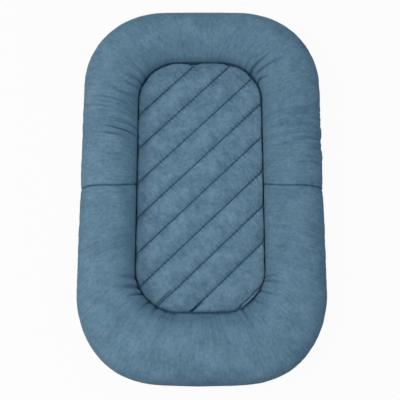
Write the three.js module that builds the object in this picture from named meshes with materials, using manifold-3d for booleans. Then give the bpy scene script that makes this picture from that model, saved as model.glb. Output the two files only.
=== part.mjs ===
// Infant lounger: a stuffed ring bolster in a velvet cover, with a quilted pad that lies loose in its
// hollow and a zip under the base. Millimetres, +Z up, +Y towards the head end. The origin is on the
// floor, under the middle of the ring.
//
// The case is one bag. Two U-shaped cover halves wrap the ring and meet at a seam across each side.
// Their outer edge is sewn to the base panel and their inner edge to the floor panel. The filling and
// the base wadding lie inside and go in through the zip. The pad lifts straight out of the hollow.

import * as THREE from "three";
import { mergeVertices } from "three/addons/utils/BufferGeometryUtils.js";
import Module from "manifold-3d";

// Driving dimensions of the ring, over its cover.
const LENGTH = 900;
const WIDTH = 570;
const CROWN_HEIGHT = 125;
const SIDE_BOLSTER = 133; // width of the bolster along the sides
const HEAD_BOLSTER = 119; // at the head end
const FOOT_BOLSTER = 162; // at the foot end, which is fuller
const HEAD_CORNER = 188; // outer corner radius at the head end
const FOOT_CORNER_ACROSS = 185; // the foot corners are elliptical: radius along X
const FOOT_CORNER_ALONG = 208; // and along Y
const HOLLOW_CORNER = 102; // corner radius of the hollow
const SEAM_Y = -3; // the side seams lie this far from mid-length
const SEAM_DRAW = 2.5; // how deep a side seam draws the bolster in
const EQUATOR_HEIGHT = 60; // where the bolster is widest
const UNDER_HEIGHT = 66; // depth of the bolster's lower curve, which the floor cuts short

// Cloth, thread and the clearance between pieces that lie on each other.
const GAP = 0.3;
const COVER_CLOTH = 1.6; // velvet with its lining
const FILLING_EASE = 0.4; // room between the cover and the filling
const BASE_CLOTH = 1.5;
const FLOOR_CLOTH = 1.2;
const THREAD_RADIUS = 0.6;

// The pad.
const PAD_EASE = 1; // running room between the pad's piping and the bolster
const PIPING_RADIUS = 1.8;
const PAD_CLOTH = 1.2; // back and side band
const PAD_CORE = 25;
const QUILT_CLOTH = 1.4; // the quilted velvet on top
const WADDING_AT_SEAM = 1.5; // wadding squeezed under a row of stitches
const QUILT_PUFF = 10; // height of a channel above its stitches
const QUILT_ROWS = 8; // rows of stitches, which divide the pad evenly from corner to corner
const QUILT_OFFSET = 12; // from the pad's centre to the middle of the pattern, across the channels
const QUILT_ANGLE = (44 * Math.PI) / 180; // the rows of stitches run up to the right
const EDGE_ROLL = 30; // width over which the pad's top rolls down to its edge
const STITCH_INSET = 3; // a row of stitches stops this far from the pad's edge
const END_ROW_INSET = 1.5; // the grid's outermost row lies this far inside the pad's corner

// The zip, which runs along Y in a slot of the base panel.
const CHAIN_LENGTH = 420;
const COIL_WIDTH = 2.3;
const COIL_HEIGHT = 1.6;
const COIL_CHANNEL = 1.8; // the coils stand this far apart, for the slider's post
const TAPE_WIDTH = 14;
const TAPE_CLOTH = 0.5;
const HEM_WIDTH = 10; // the base cloth is turned over round the slot
const SLOT_MARGIN = 6; // slot past the chain at its foot end, and past the pull tab at its head end
const STOP_LENGTH = 4;
const SLIDER_LENGTH = 11;
const SLIDER_FLANGE = 1.1; // the slider is this much wider than the coils, on each side
const SLIDER_PLATE = 1;
const SLIDER_EASE = 1.7; // between the slider and the slot's edge
const POST_LENGTH = 3;
const BAIL_WIDTH = 1.4;
const BAIL_LENGTH = 7;
const BAIL_BAR = 0.8;
const PULL_LENGTH = 22; // from its pivot to its tip
const PULL_WIDTH = 6.5;
const PULL_THICK = 0.7;
const PULL_EASE = 0.8; // between the pull tab's eye and the bail

// How finely the curved forms are divided, and how round the bolster is.
const SIDE_SHARES = [0, 0.07, 0.36, 0.68]; // of a side, from its seam to the corner
const CORNER_STEPS = 7;
const END_SHARES = [0, 0.5]; // of half the straight end
const UNDER_STEPS = 2; // from each edge of the cover up to the bolster's widest point
const CROWN_STEPS = 8; // from there over the crown
const UNDER_SHARES = [0.3, 0.5, 0.7]; // of the turn under the bolster
const CHANNEL_SHARES = [0, 0.15, 0.5, 0.85]; // of a quilted channel's width
const ROW_SHARES = [-1, -0.95, -0.85, -0.62, -0.3, 0, 0.3, 0.62, 0.85, 0.95, 1]; // of half a row
const ROUND_SIDES = 6; // of piping and thread
const SECTION_POWER = 2.25; // 2 is an ellipse, and more is squarer
const CORNER_LIMIT_SHARE = 0.95; // a corner takes at most this much of half a width
const HALVINGS = 40; // steps of the search for a row's end
const OVERRUN = 5; // how far a cutter passes the face that it cuts

const VELVET = { color: 0x587689, roughness: 0.9 };
const LINING = { color: 0x6b8496, roughness: 0.85 };
const STUFFING = { color: 0xf2f1ec, roughness: 1 };
const FOAM = { color: 0xefe9d8, roughness: 1 };
const THREAD = { color: 0x2b475a, roughness: 0.7 };
const TAPE = { color: 0x3a5568, roughness: 0.8 };
const NYLON = { color: 0x33485a, roughness: 0.45 };
const METAL = { color: 0x9aa3aa, roughness: 0.35, metalness: 0.9 };

const wasm = await Module();
wasm.setup();

const { lerp } = THREE.MathUtils;
const lounger = new THREE.Group();

function addMesh(name, geometry, finish) {
  const mesh = new THREE.Mesh(geometry, new THREE.MeshStandardMaterial(finish));
  mesh.name = name;
  lounger.add(mesh);
}

// Booleans.

function toSolid(geometry) {
  const bare = geometry.clone();
  bare.deleteAttribute("normal");
  bare.deleteAttribute("uv");
  const merged = mergeVertices(bare);
  const vertProperties = new Float32Array(merged.attributes.position.array);
  const triVerts = new Uint32Array(merged.index.array);
  return new wasm.Manifold(new wasm.Mesh({ numProp: 3, vertProperties, triVerts }));
}

function toGeometry(solid) {
  const mesh = solid.getMesh();
  const geometry = new THREE.BufferGeometry();
  geometry.setAttribute("position", new THREE.BufferAttribute(mesh.vertProperties, 3));
  geometry.setIndex(new THREE.BufferAttribute(mesh.triVerts, 1));
  return geometry;
}

// A box from its two ends along each axis.
function boxBetween([x0, x1], [y0, y1], [z0, z1]) {
  const box = new THREE.BoxGeometry(x1 - x0, y1 - y0, z1 - z0);
  return box.translate((x0 + x1) / 2, (y0 + y1) / 2, (z0 + z1) / 2);
}

const boxSolid = (...ends) => toSolid(boxBetween(...ends));

// Surfaces from grids of points.

function fromFaces(faces) {
  const corners = [];
  for (const face of faces) {
    for (let i = 1; i + 1 < face.length; i++) corners.push(face[0], face[i], face[i + 1]);
  }
  return mergeVertices(new THREE.BufferGeometry().setFromPoints(corners));
}

function gridFaces(rows) {
  const faces = [];
  for (let i = 0; i + 1 < rows.length; i++) {
    const row = rows[i];
    const next = rows[i + 1];
    for (let j = 0; j + 1 < row.length; j++) faces.push([row[j], next[j], next[j + 1], row[j + 1]]);
  }
  return faces;
}

// The other side of each face, split along the same diagonal.
const flipped = (faces) => faces.map(([first, ...rest]) => [first, ...rest.reverse()]);

// The edge of a grid, once round.
function gridBorder(rows) {
  const start = rows[0];
  const end = rows[rows.length - 1];
  const last = start.length - 1;
  const up = rows.slice(1, -1).map((row) => row[last]);
  const down = rows.slice(1, -1).map((row) => row[0]);
  return [...start, ...up, ...[...end].reverse(), ...down.reverse()];
}

// A sheet with thickness. Both grids have the same rows and columns; face looks outwards.
function sheet(face, back) {
  const upper = gridBorder(face);
  const lower = gridBorder(back);
  const walls = upper.map((point, i) => {
    const j = (i + 1) % upper.length;
    return [point, upper[j], lower[j], lower[i]];
  });
  return fromFaces([...gridFaces(face), ...flipped(gridFaces(back)), ...walls]);
}

// A closed ring of closed sections.
function ringOf(sections) {
  const closed = sections.map((section) => [...section, section[0]]);
  return fromFaces(gridFaces([...closed, closed[0]]));
}

function plate(outline, bottom, thickness) {
  const shape = new THREE.Shape(outline.map((point) => new THREE.Vector2(point.x, point.y)));
  const geometry = new THREE.ExtrudeGeometry(shape, { depth: thickness, bevelEnabled: false });
  return geometry.translate(0, 0, bottom);
}

// Outlines in plan.

const HOLLOW_HALF_WIDTH = WIDTH / 2 - SIDE_BOLSTER;
const HOLLOW_HEAD_Y = LENGTH / 2 - HEAD_BOLSTER;
const HOLLOW_FOOT_Y = FOOT_BOLSTER - LENGTH / 2;
const HOLLOW_ROUND = Math.min(HOLLOW_CORNER, HOLLOW_HALF_WIDTH * CORNER_LIMIT_SHARE);
const OUTER_LIMIT = (WIDTH / 2) * CORNER_LIMIT_SHARE;

// From the right seam round one end to the left seam, both included.
function halfOutline(halfWidth, endY, cornerAcross, cornerAlong) {
  const along = Math.sign(endY) * cornerAlong;
  const centre = new THREE.Vector2(halfWidth - cornerAcross, endY - along);
  const side = SIDE_SHARES.map((share) => new THREE.Vector2(halfWidth, lerp(SEAM_Y, centre.y, share)));
  const corner = Array.from({ length: CORNER_STEPS }, (_, i) => {
    const turn = ((i / CORNER_STEPS) * Math.PI) / 2;
    return new THREE.Vector2(centre.x + cornerAcross * Math.cos(turn), centre.y + along * Math.sin(turn));
  });
  const end = END_SHARES.map((share) => new THREE.Vector2(lerp(centre.x, 0, share), endY));
  const right = [...side, ...corner, ...end];
  const left = right.map((point) => new THREE.Vector2(-point.x, point.y)).reverse();
  return [...right, new THREE.Vector2(0, endY), ...left];
}

// The hollow, moved inwards, once round from the right seam.
function hollowOutline(inset) {
  const corner = HOLLOW_ROUND - inset;
  const head = halfOutline(HOLLOW_HALF_WIDTH - inset, HOLLOW_HEAD_Y - inset, corner, corner);
  const foot = halfOutline(HOLLOW_HALF_WIDTH - inset, HOLLOW_FOOT_Y + inset, corner, corner).reverse();
  return [...head.slice(0, -1), ...foot.slice(0, -1)];
}

function outerOutline() {
  const headCorner = Math.min(HEAD_CORNER, OUTER_LIMIT);
  const footCorner = Math.min(FOOT_CORNER_ACROSS, OUTER_LIMIT);
  const head = halfOutline(WIDTH / 2, LENGTH / 2, headCorner, headCorner);
  const foot = halfOutline(WIDTH / 2, -LENGTH / 2, footCorner, FOOT_CORNER_ALONG).reverse();
  return [...head.slice(0, -1), ...foot.slice(0, -1)];
}

// The bolster's stations: where a section stands, which way it faces, and how far a seam draws it in.
const inner = hollowOutline(0);
const stations = outerOutline().map((point, i) => {
  const across = new THREE.Vector2().subVectors(point, inner[i]);
  return {
    middle: new THREE.Vector2().addVectors(point, inner[i]).multiplyScalar(0.5),
    outwards: across.clone().normalize(),
    halfWidth: across.length() / 2,
    drawIn: point.y === SEAM_Y ? SEAM_DRAW : 0,
  };
});
const half = stations.length / 2;
const headStations = stations.slice(0, half + 1);
const footStations = [...stations.slice(half), stations[0]];

// Heights, from the floor up. The bail of the zip's slider hangs nearest the floor.
const BAIL_Z = GAP;
const BAIL_WINDOW = PULL_THICK * Math.SQRT2 + 2 * GAP; // the pull tab's crossbar turns in it
const PIVOT_Z = BAIL_Z + BAIL_BAR + BAIL_WINDOW / 2;
const LOWER_PLATE_Z = BAIL_Z + BAIL_BAR + BAIL_WINDOW;
const TAPE_Z = LOWER_PLATE_Z + SLIDER_PLATE + GAP;
const HEM_TOP = TAPE_Z - GAP;
const COIL_Z = TAPE_Z + TAPE_CLOTH + GAP;
const UPPER_PLATE_Z = COIL_Z + COIL_HEIGHT + GAP;
const BASE_TOP = BASE_CLOTH + GAP; // what lies on the base panel
const FLOOR_Z = UPPER_PLATE_Z + SLIDER_PLATE + GAP; // underside of the floor panel
const WADDING_TOP = FLOOR_Z - GAP; // top of the base wadding
const PAD_Z = FLOOR_Z + FLOOR_CLOTH + GAP; // underside of the pad
const CORE_Z = PAD_Z + PAD_CLOTH + GAP;
const PAD_WADDING_Z = CORE_Z + PAD_CORE + GAP;
const PIPING_Z = PAD_WADDING_Z + WADDING_AT_SEAM + GAP;
const QUILT_SEAM_Z = PIPING_Z + QUILT_CLOTH; // the pad's face at its stitches

// The bolster.

const signedPower = (value) => Math.sign(value) * Math.abs(value) ** (2 / SECTION_POWER);

// A point of the bolster's section. The angle runs from the outer side over the crown to the hollow,
// and inset is how far inside the cover's face the point lies.
function sectionPoint(station, angle, inset) {
  const depth = inset + station.drawIn;
  const reach = (station.halfWidth - depth) * signedPower(Math.cos(angle));
  const height = Math.sin(angle) > 0 ? CROWN_HEIGHT - EQUATOR_HEIGHT : UNDER_HEIGHT;
  const z = EQUATOR_HEIGHT + (height - depth) * signedPower(Math.sin(angle));
  const plan = station.middle.clone().addScaledVector(station.outwards, reach);
  return new THREE.Vector3(plan.x, plan.y, Math.max(z, BASE_TOP));
}

// The angle below the equator at which the cover's face comes down to a height.
function angleAtHeight(height, station) {
  const share = (EQUATOR_HEIGHT - height) / (UNDER_HEIGHT - station.drawIn);
  return Math.asin(share ** (SECTION_POWER / 2));
}

const outerEdgeAngle = (station) => -angleAtHeight(BASE_TOP, station);
const innerEdgeAngle = (station) => Math.PI + angleAtHeight(PAD_Z, station);

// From the cover's outer edge, on the base panel, to its inner edge, on the floor panel.
function coverAngles(station) {
  const steps = (from, to, count) => Array.from({ length: count }, (_, i) => lerp(from, to, i / count));
  const outer = steps(outerEdgeAngle(station), 0, UNDER_STEPS);
  const crown = steps(0, Math.PI, CROWN_STEPS);
  const inner = steps(Math.PI, innerEdgeAngle(station), UNDER_STEPS);
  return [...outer, ...crown, ...inner, innerEdgeAngle(station)];
}

// The same station, moved along the side.
function shifted(station, shift) {
  const middle = station.middle.clone();
  middle.y += shift;
  return { ...station, middle };
}

// A cover half stops short of the other half at both side seams.
function coverHalf(ownStations, towards) {
  const placed = ownStations.map((station) => shifted(station, station.drawIn ? (towards * GAP) / 2 : 0));
  const layer = (inset) =>
    placed.map((station) => coverAngles(station).map((angle) => sectionPoint(station, angle, inset)));
  return sheet(layer(0), layer(COVER_CLOTH));
}

// The filling follows the cover, and closes underneath, where the base panel carries it.
function fillingRing() {
  const inset = COVER_CLOTH + FILLING_EASE;
  const sections = stations.map((station) => {
    const covered = coverAngles(station);
    const turn = [innerEdgeAngle(station), outerEdgeAngle(station) + 2 * Math.PI];
    const under = UNDER_SHARES.map((share) => lerp(...turn, share));
    return [...covered, ...under].map((angle) => sectionPoint(station, angle, inset));
  });
  return ringOf(sections);
}

// The stitches of a side seam lie in the groove between the two halves, and stop short of its edges.
function seamThread(station) {
  const width = Math.sign(station.middle.x) * THREAD_RADIUS;
  const layer = (proud) =>
    [-width, width].map((shift) => {
      const edge = shifted(station, shift);
      return coverAngles(edge).slice(1, -1).map((angle) => sectionPoint(edge, angle, -proud));
    });
  return sheet(layer(GAP + 2 * THREAD_RADIUS), layer(GAP));
}

const baseOutline = () => stations.map((station) => sectionPoint(station, outerEdgeAngle(station), 0));
const floorOutline = () =>
  stations.map((station) => sectionPoint(station, innerEdgeAngle(station), COVER_CLOTH));

addMesh("bumper_cover_head", coverHalf(headStations, 1), VELVET);
addMesh("bumper_cover_foot", coverHalf(footStations, -1), VELVET);
addMesh("bumper_filling", fillingRing(), STUFFING);
addMesh("side_seam_thread_right", seamThread(stations[0]), THREAD);
addMesh("side_seam_thread_left", seamThread(stations[half]), THREAD);

// The base, with the zip's slot.

const COIL_X = COIL_CHANNEL / 2;
const CHAIN_WIDTH = 2 * (COIL_X + COIL_WIDTH);
const SLIDER_WIDTH = CHAIN_WIDTH + 2 * SLIDER_FLANGE;
const SLOT_WIDTH = SLIDER_WIDTH + 2 * SLIDER_EASE;
const TAPE_X = COIL_X + GAP;
const CHAIN_HEAD_Y = CHAIN_LENGTH / 2;
const CHAIN_FOOT_Y = -CHAIN_HEAD_Y;
const SLIDER_HEAD_Y = CHAIN_HEAD_Y - STOP_LENGTH - GAP; // at rest the zip is shut
const PIVOT_Y = SLIDER_HEAD_Y - SLIDER_LENGTH / 2;
const SLOT_HEAD_Y = PIVOT_Y + PULL_LENGTH + SLOT_MARGIN;
const SLOT_FOOT_Y = CHAIN_FOOT_Y - SLOT_MARGIN;

function basePanel() {
  const cloth = toSolid(plate(baseOutline(), 0, BASE_CLOTH));
  const hemHalf = SLOT_WIDTH / 2 + HEM_WIDTH;
  const hem = boxSolid([-hemHalf, hemHalf], [SLOT_FOOT_Y - HEM_WIDTH, SLOT_HEAD_Y + HEM_WIDTH], [0, HEM_TOP]);
  const slotX = [-SLOT_WIDTH / 2, SLOT_WIDTH / 2];
  const slot = boxSolid(slotX, [SLOT_FOOT_Y, SLOT_HEAD_Y], [-OVERRUN, HEM_TOP + OVERRUN]);
  return toGeometry(cloth.add(hem).subtract(slot));
}

// The wadding leaves the zip free, with its hem and tapes.
function baseWadding() {
  const wadding = toSolid(plate(floorOutline(), BASE_TOP, WADDING_TOP - BASE_TOP));
  const reach = Math.max(SLOT_WIDTH / 2 + HEM_WIDTH, TAPE_X + TAPE_WIDTH) + GAP;
  const endY = HEM_WIDTH + GAP;
  const ends = [SLOT_FOOT_Y - endY, SLOT_HEAD_Y + endY];
  const groove = boxSolid([-reach, reach], ends, [BASE_TOP - OVERRUN, WADDING_TOP + OVERRUN]);
  return toGeometry(wadding.subtract(groove));
}

addMesh("base_panel", basePanel(), LINING);
addMesh("base_wadding", baseWadding(), STUFFING);
addMesh("floor_panel", plate(floorOutline(), FLOOR_Z, FLOOR_CLOTH), LINING);

// The zip.

const CHAIN_Z = [COIL_Z, COIL_Z + COIL_HEIGHT];
const TOP_STOP_Y = [CHAIN_HEAD_Y - STOP_LENGTH, CHAIN_HEAD_Y];
const BOTTOM_STOP_Y = [CHAIN_FOOT_Y, CHAIN_FOOT_Y + STOP_LENGTH];
const COIL_Y = [BOTTOM_STOP_Y[1] + GAP, TOP_STOP_Y[0] - GAP];

for (const [name, side] of [["right", 1], ["left", -1]]) {
  const spread = (near, far) => [side * near, side * far].sort((a, b) => a - b);
  const tapeX = spread(TAPE_X, TAPE_X + TAPE_WIDTH);
  const coilX = spread(COIL_X, COIL_X + COIL_WIDTH);
  const tape = boxBetween(tapeX, [CHAIN_FOOT_Y, CHAIN_HEAD_Y], [TAPE_Z, TAPE_Z + TAPE_CLOTH]);
  addMesh(`zip_tape_${name}`, tape, TAPE);
  addMesh(`zip_coil_${name}`, boxBetween(coilX, COIL_Y, CHAIN_Z), NYLON);
  addMesh(`zip_top_stop_${name}`, boxBetween(coilX, TOP_STOP_Y, CHAIN_Z), METAL);
}
const chainX = [-CHAIN_WIDTH / 2, CHAIN_WIDTH / 2];
addMesh("zip_bottom_stop", boxBetween(chainX, BOTTOM_STOP_Y, CHAIN_Z), METAL);

// Two plates joined by a post that runs between the coils, and a bail underneath for the pull tab.
function zipSlider() {
  const plateX = [-SLIDER_WIDTH / 2, SLIDER_WIDTH / 2];
  const plateY = [SLIDER_HEAD_Y - SLIDER_LENGTH, SLIDER_HEAD_Y];
  const lower = boxSolid(plateX, plateY, [LOWER_PLATE_Z, LOWER_PLATE_Z + SLIDER_PLATE]);
  const upper = boxSolid(plateX, plateY, [UPPER_PLATE_Z, UPPER_PLATE_Z + SLIDER_PLATE]);
  const postHalf = COIL_X - GAP;
  const postY = [SLIDER_HEAD_Y - POST_LENGTH, SLIDER_HEAD_Y];
  const post = boxSolid([-postHalf, postHalf], postY, [LOWER_PLATE_Z, UPPER_PLATE_Z + SLIDER_PLATE]);
  const bailX = [-BAIL_WIDTH / 2, BAIL_WIDTH / 2];
  const bailY = [PIVOT_Y - BAIL_LENGTH / 2, PIVOT_Y + BAIL_LENGTH / 2];
  const bail = boxSolid(bailX, bailY, [BAIL_Z, LOWER_PLATE_Z + SLIDER_PLATE / 2]);
  const windowY = [bailY[0] + BAIL_BAR, bailY[1] - BAIL_BAR];
  const window = boxSolid(plateX, windowY, [BAIL_Z + BAIL_BAR, LOWER_PLATE_Z]);
  return toGeometry(lower.add(upper).add(post).add(bail.subtract(window)));
}

// The pull tab lies towards the head, in the slot. The bail passes through its eye.
function zipPullTab() {
  const level = [PIVOT_Z - PULL_THICK / 2, PIVOT_Z + PULL_THICK / 2];
  const tabX = [-PULL_WIDTH / 2, PULL_WIDTH / 2];
  const tab = boxSolid(tabX, [PIVOT_Y - PULL_THICK / 2, PIVOT_Y + PULL_LENGTH], level);
  const eyeHalf = BAIL_WIDTH / 2 + PULL_EASE;
  const bailReach = Math.hypot(BAIL_LENGTH / 2, BAIL_BAR + BAIL_WINDOW / 2);
  const eyeY = [PIVOT_Y + PULL_THICK / 2, PIVOT_Y + bailReach + PULL_EASE];
  const eye = boxSolid([-eyeHalf, eyeHalf], eyeY, [level[0] - OVERRUN, level[1] + OVERRUN]);
  return toGeometry(tab.subtract(eye));
}

addMesh("zip_slider", zipSlider(), METAL);
addMesh("zip_pull_tab", zipPullTab(), METAL);

// The pad. Its piping keeps clear of the bolster, and its cloth stops inside the piping.

const PIPING_INSET = PAD_EASE + PIPING_RADIUS;
const PAD_INSET = PIPING_INSET + PIPING_RADIUS + GAP;
const PAD_MIDDLE_Y = (HOLLOW_HEAD_Y + HOLLOW_FOOT_Y) / 2;
const CHORD_EASE = HOLLOW_ROUND * (1 - Math.cos(Math.PI / 4 / CORNER_STEPS)); // chords cut into an arc

// The centre of the corner that reaches furthest across the rows of stitches, from the pad's centre.
const CORNER_X = HOLLOW_ROUND - HOLLOW_HALF_WIDTH;
const CORNER_Y = HOLLOW_HEAD_Y - HOLLOW_ROUND - PAD_MIDDLE_Y;
const CORNER_ALONG = CORNER_X * Math.cos(QUILT_ANGLE) + CORNER_Y * Math.sin(QUILT_ANGLE);
const CORNER_ACROSS = CORNER_Y * Math.cos(QUILT_ANGLE) - CORNER_X * Math.sin(QUILT_ANGLE);
const REACH = CORNER_ACROSS + HOLLOW_ROUND - PAD_INSET - END_ROW_INSET;

// The plan point at a distance along and across the rows, from the pad's centre.
function quiltPoint(along, across) {
  const x = along * Math.cos(QUILT_ANGLE) - across * Math.sin(QUILT_ANGLE);
  const y = along * Math.sin(QUILT_ANGLE) + across * Math.cos(QUILT_ANGLE);
  return new THREE.Vector2(x, y + PAD_MIDDLE_Y);
}

// How far a plan point lies inside the pad's edge.
function insideEdge(point) {
  const beyondX = Math.abs(point.x) + CORNER_X;
  const beyondY = Math.abs(point.y - PAD_MIDDLE_Y) - CORNER_Y;
  const outside = Math.hypot(Math.max(beyondX, 0), Math.max(beyondY, 0));
  return HOLLOW_ROUND - PAD_INSET - outside - Math.min(Math.max(beyondX, beyondY), 0);
}

// Where the row at a distance across the pad comes within a margin of its edge, on one side.
function rowEnd(across, towards, margin) {
  const start = (across / REACH) * CORNER_ALONG;
  let inside = 0;
  let outside = LENGTH;
  for (let i = 0; i < HALVINGS; i++) {
    const middle = (inside + outside) / 2;
    if (insideEdge(quiltPoint(start + towards * middle, across)) > margin) inside = middle;
    else outside = middle;
  }
  return start + towards * inside;
}

const QUILT_PITCH = (2 * REACH) / (QUILT_ROWS + 1);
const stitchRows = Array.from(
  { length: QUILT_ROWS },
  (_, i) => QUILT_OFFSET + (i + 1) * QUILT_PITCH - REACH,
);

const rounded = (share) => Math.sqrt(1 - (1 - Math.min(share, 1)) ** 2);

// The height of the puffed top over its stitches.
function puffAt(point, across) {
  const toStitches = Math.min(...stitchRows.map((row) => Math.abs(row - across)));
  return QUILT_PUFF * rounded((2 * toStitches) / QUILT_PITCH) * rounded(insideEdge(point) / EDGE_ROLL);
}

// A grid over the pad, in rows that run with the stitches, at a depth under its face.
function quiltGrid(depth) {
  const edges = [-REACH + CHORD_EASE, ...stitchRows, REACH - CHORD_EASE].reverse();
  const channels = edges.slice(0, -1).map((edge, i) => [edge, edges[i + 1]]);
  const rows = channels.flatMap((channel) => CHANNEL_SHARES.map((share) => lerp(...channel, share)));
  return [...rows, edges[edges.length - 1]].map((across) => {
    const ends = [rowEnd(across, -1, CHORD_EASE), rowEnd(across, 1, CHORD_EASE)];
    return ROW_SHARES.map((share) => {
      const point = quiltPoint(lerp(...ends, (share + 1) / 2), across);
      return new THREE.Vector3(point.x, point.y, QUILT_SEAM_Z - depth + puffAt(point, across));
    });
  });
}

// The wadding under the quilted top: puffed above and flat below.
function padWadding() {
  const top = quiltGrid(QUILT_CLOTH + GAP);
  const bottom = top.map((row) => row.map((point) => new THREE.Vector3(point.x, point.y, PAD_WADDING_Z)));
  return sheet(top, bottom);
}

// A band of cloth round the core.
function sideBand() {
  const inner = hollowOutline(PAD_INSET + PAD_CLOTH);
  const levels = [CORE_Z, PAD_WADDING_Z - GAP];
  const sections = hollowOutline(PAD_INSET).map((outer, i) => [
    new THREE.Vector3(outer.x, outer.y, levels[0]),
    new THREE.Vector3(outer.x, outer.y, levels[1]),
    new THREE.Vector3(inner[i].x, inner[i].y, levels[1]),
    new THREE.Vector3(inner[i].x, inner[i].y, levels[0]),
  ]);
  return ringOf(sections);
}

// A round cord in its own cloth, sewn in round the pad's top edge.
function piping() {
  const line = hollowOutline(PIPING_INSET);
  const sections = line.map((point, i) => {
    const before = line[(i + line.length - 1) % line.length];
    const after = line[(i + 1) % line.length];
    const outwards = new THREE.Vector2(after.y - before.y, before.x - after.x).setLength(PIPING_RADIUS);
    return Array.from({ length: ROUND_SIDES }, (_, j) => {
      const turn = (j / ROUND_SIDES) * 2 * Math.PI;
      const plan = point.clone().addScaledVector(outwards, Math.cos(turn));
      return new THREE.Vector3(plan.x, plan.y, PIPING_Z + PIPING_RADIUS * Math.sin(turn));
    });
  });
  return ringOf(sections);
}

// A row of stitches lies in its groove, clear of both slopes.
function quiltThread(across) {
  const run = QUILT_PITCH * CHANNEL_SHARES[1];
  const rise = QUILT_PUFF * rounded(2 * CHANNEL_SHARES[1]);
  const z = QUILT_SEAM_Z + ((THREAD_RADIUS + GAP) * Math.hypot(rise, run)) / run;
  const [start, end] = [-1, 1].map((towards) => {
    const plan = quiltPoint(rowEnd(across, towards, STITCH_INSET), across);
    return new THREE.Vector3(plan.x, plan.y, z);
  });
  const corners = Array.from({ length: ROUND_SIDES }, (_, i) => {
    const turn = (i / ROUND_SIDES) * 2 * Math.PI;
    return new THREE.Vector2(THREAD_RADIUS * Math.cos(turn), THREAD_RADIUS * Math.sin(turn));
  });
  const extrudePath = new THREE.LineCurve3(start, end);
  return new THREE.ExtrudeGeometry(new THREE.Shape(corners), { steps: 1, extrudePath });
}

addMesh("pad_back_cloth", plate(hollowOutline(PAD_INSET), PAD_Z, PAD_CLOTH), LINING);
addMesh("pad_foam_core", plate(hollowOutline(PAD_INSET + PAD_CLOTH + GAP), CORE_Z, PAD_CORE), FOAM);
addMesh("pad_side_band", sideBand(), VELVET);
addMesh("pad_wadding", padWadding(), STUFFING);
addMesh("pad_quilted_top", sheet(quiltGrid(0), quiltGrid(QUILT_CLOTH)), VELVET);
addMesh("pad_piping", piping(), VELVET);
stitchRows.forEach((across, i) => addMesh(`quilt_thread_${i + 1}`, quiltThread(across), THREAD));

export default lounger;
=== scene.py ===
# %% [markdown]
# An infant lounger is a ring-shaped bolster, stuffed with loose fibre, in a velvet cover. A quilted
# velvet pad lies loose in its hollow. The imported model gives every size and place, so the script
# starts by loading it, and everything that follows is in metres in the same frame.

# %% Load the frame
import math

import bpy
import numpy as np
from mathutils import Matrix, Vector


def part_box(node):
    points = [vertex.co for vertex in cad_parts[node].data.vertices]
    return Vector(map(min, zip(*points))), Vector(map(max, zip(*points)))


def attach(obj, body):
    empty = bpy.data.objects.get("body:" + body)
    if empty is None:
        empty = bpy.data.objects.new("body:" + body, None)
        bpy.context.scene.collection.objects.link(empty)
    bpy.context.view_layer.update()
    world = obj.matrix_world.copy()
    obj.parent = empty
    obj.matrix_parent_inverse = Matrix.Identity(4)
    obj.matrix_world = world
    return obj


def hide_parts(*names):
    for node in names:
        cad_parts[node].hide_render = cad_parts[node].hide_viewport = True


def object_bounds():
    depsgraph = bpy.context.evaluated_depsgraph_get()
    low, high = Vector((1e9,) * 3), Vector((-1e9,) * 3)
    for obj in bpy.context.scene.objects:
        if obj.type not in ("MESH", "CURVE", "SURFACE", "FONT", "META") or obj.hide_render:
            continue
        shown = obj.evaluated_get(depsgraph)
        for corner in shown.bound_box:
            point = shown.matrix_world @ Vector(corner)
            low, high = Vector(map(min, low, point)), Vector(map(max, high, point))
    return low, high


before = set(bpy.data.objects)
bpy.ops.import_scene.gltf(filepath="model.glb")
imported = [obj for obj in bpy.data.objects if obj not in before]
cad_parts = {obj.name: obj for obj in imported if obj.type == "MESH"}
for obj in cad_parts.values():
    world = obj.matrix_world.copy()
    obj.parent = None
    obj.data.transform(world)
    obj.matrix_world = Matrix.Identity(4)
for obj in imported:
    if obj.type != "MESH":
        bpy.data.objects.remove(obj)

MM = 0.001
cad_low, cad_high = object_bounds()
print("The packed model measures", [round(size / MM, 1) for size in cad_high - cad_low], "mm")

# %% [markdown]
# The camera stands at the foot end and looks down steeply, 76 degrees above the horizon. A long lens
# from almost two metres keeps the sides of the ring nearly parallel, as a studio picture does.

# %% Camera
LOOK_AT = Vector((0, -0.0231, 0.060))
CAMERA_DISTANCE = 1.9
CAMERA_ELEVATION = math.radians(75.84)
LENS_MM = 72.4
SENSOR_MM = 36
IMAGE_PIXELS = 400
PIXELS_RIGHT = 1.8  # the object stands this far right of the middle of the picture

camera_data = bpy.data.cameras.new("camera")
camera_data.lens = LENS_MM
camera_data.sensor_width = SENSOR_MM
camera_data.shift_x = -PIXELS_RIGHT / IMAGE_PIXELS
camera = bpy.data.objects.new("camera", camera_data)
bpy.context.scene.collection.objects.link(camera)
towards_camera = Vector((0, -math.cos(CAMERA_ELEVATION), math.sin(CAMERA_ELEVATION)))
camera.location = LOOK_AT + CAMERA_DISTANCE * towards_camera
camera.rotation_euler = (math.pi / 2 - CAMERA_ELEVATION, 0, 0)
bpy.context.scene.camera = camera
bpy.context.scene.view_settings.view_transform = "Standard"
print("The camera stands at", [round(value, 3) for value in camera.location])

# %% [markdown]
# Materials are built from nodes. One helper adds a node with its settings and links, and another
# turns a colour as a painter writes it, in sRGB hex, to the linear numbers that a shader takes. Most
# finishes here are a pattern between two tones of one dye, so one more helper mixes those.

# %% Helpers for materials
def linear(hex_colour):
    channels = [int(hex_colour[i : i + 2], 16) / 255 for i in (1, 3, 5)]
    low = [value / 12.92 for value in channels]
    high = [((value + 0.055) / 1.055) ** 2.4 for value in channels]
    return [l if value <= 0.04045 else h for value, l, h in zip(channels, low, high)] + [1.0]


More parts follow.
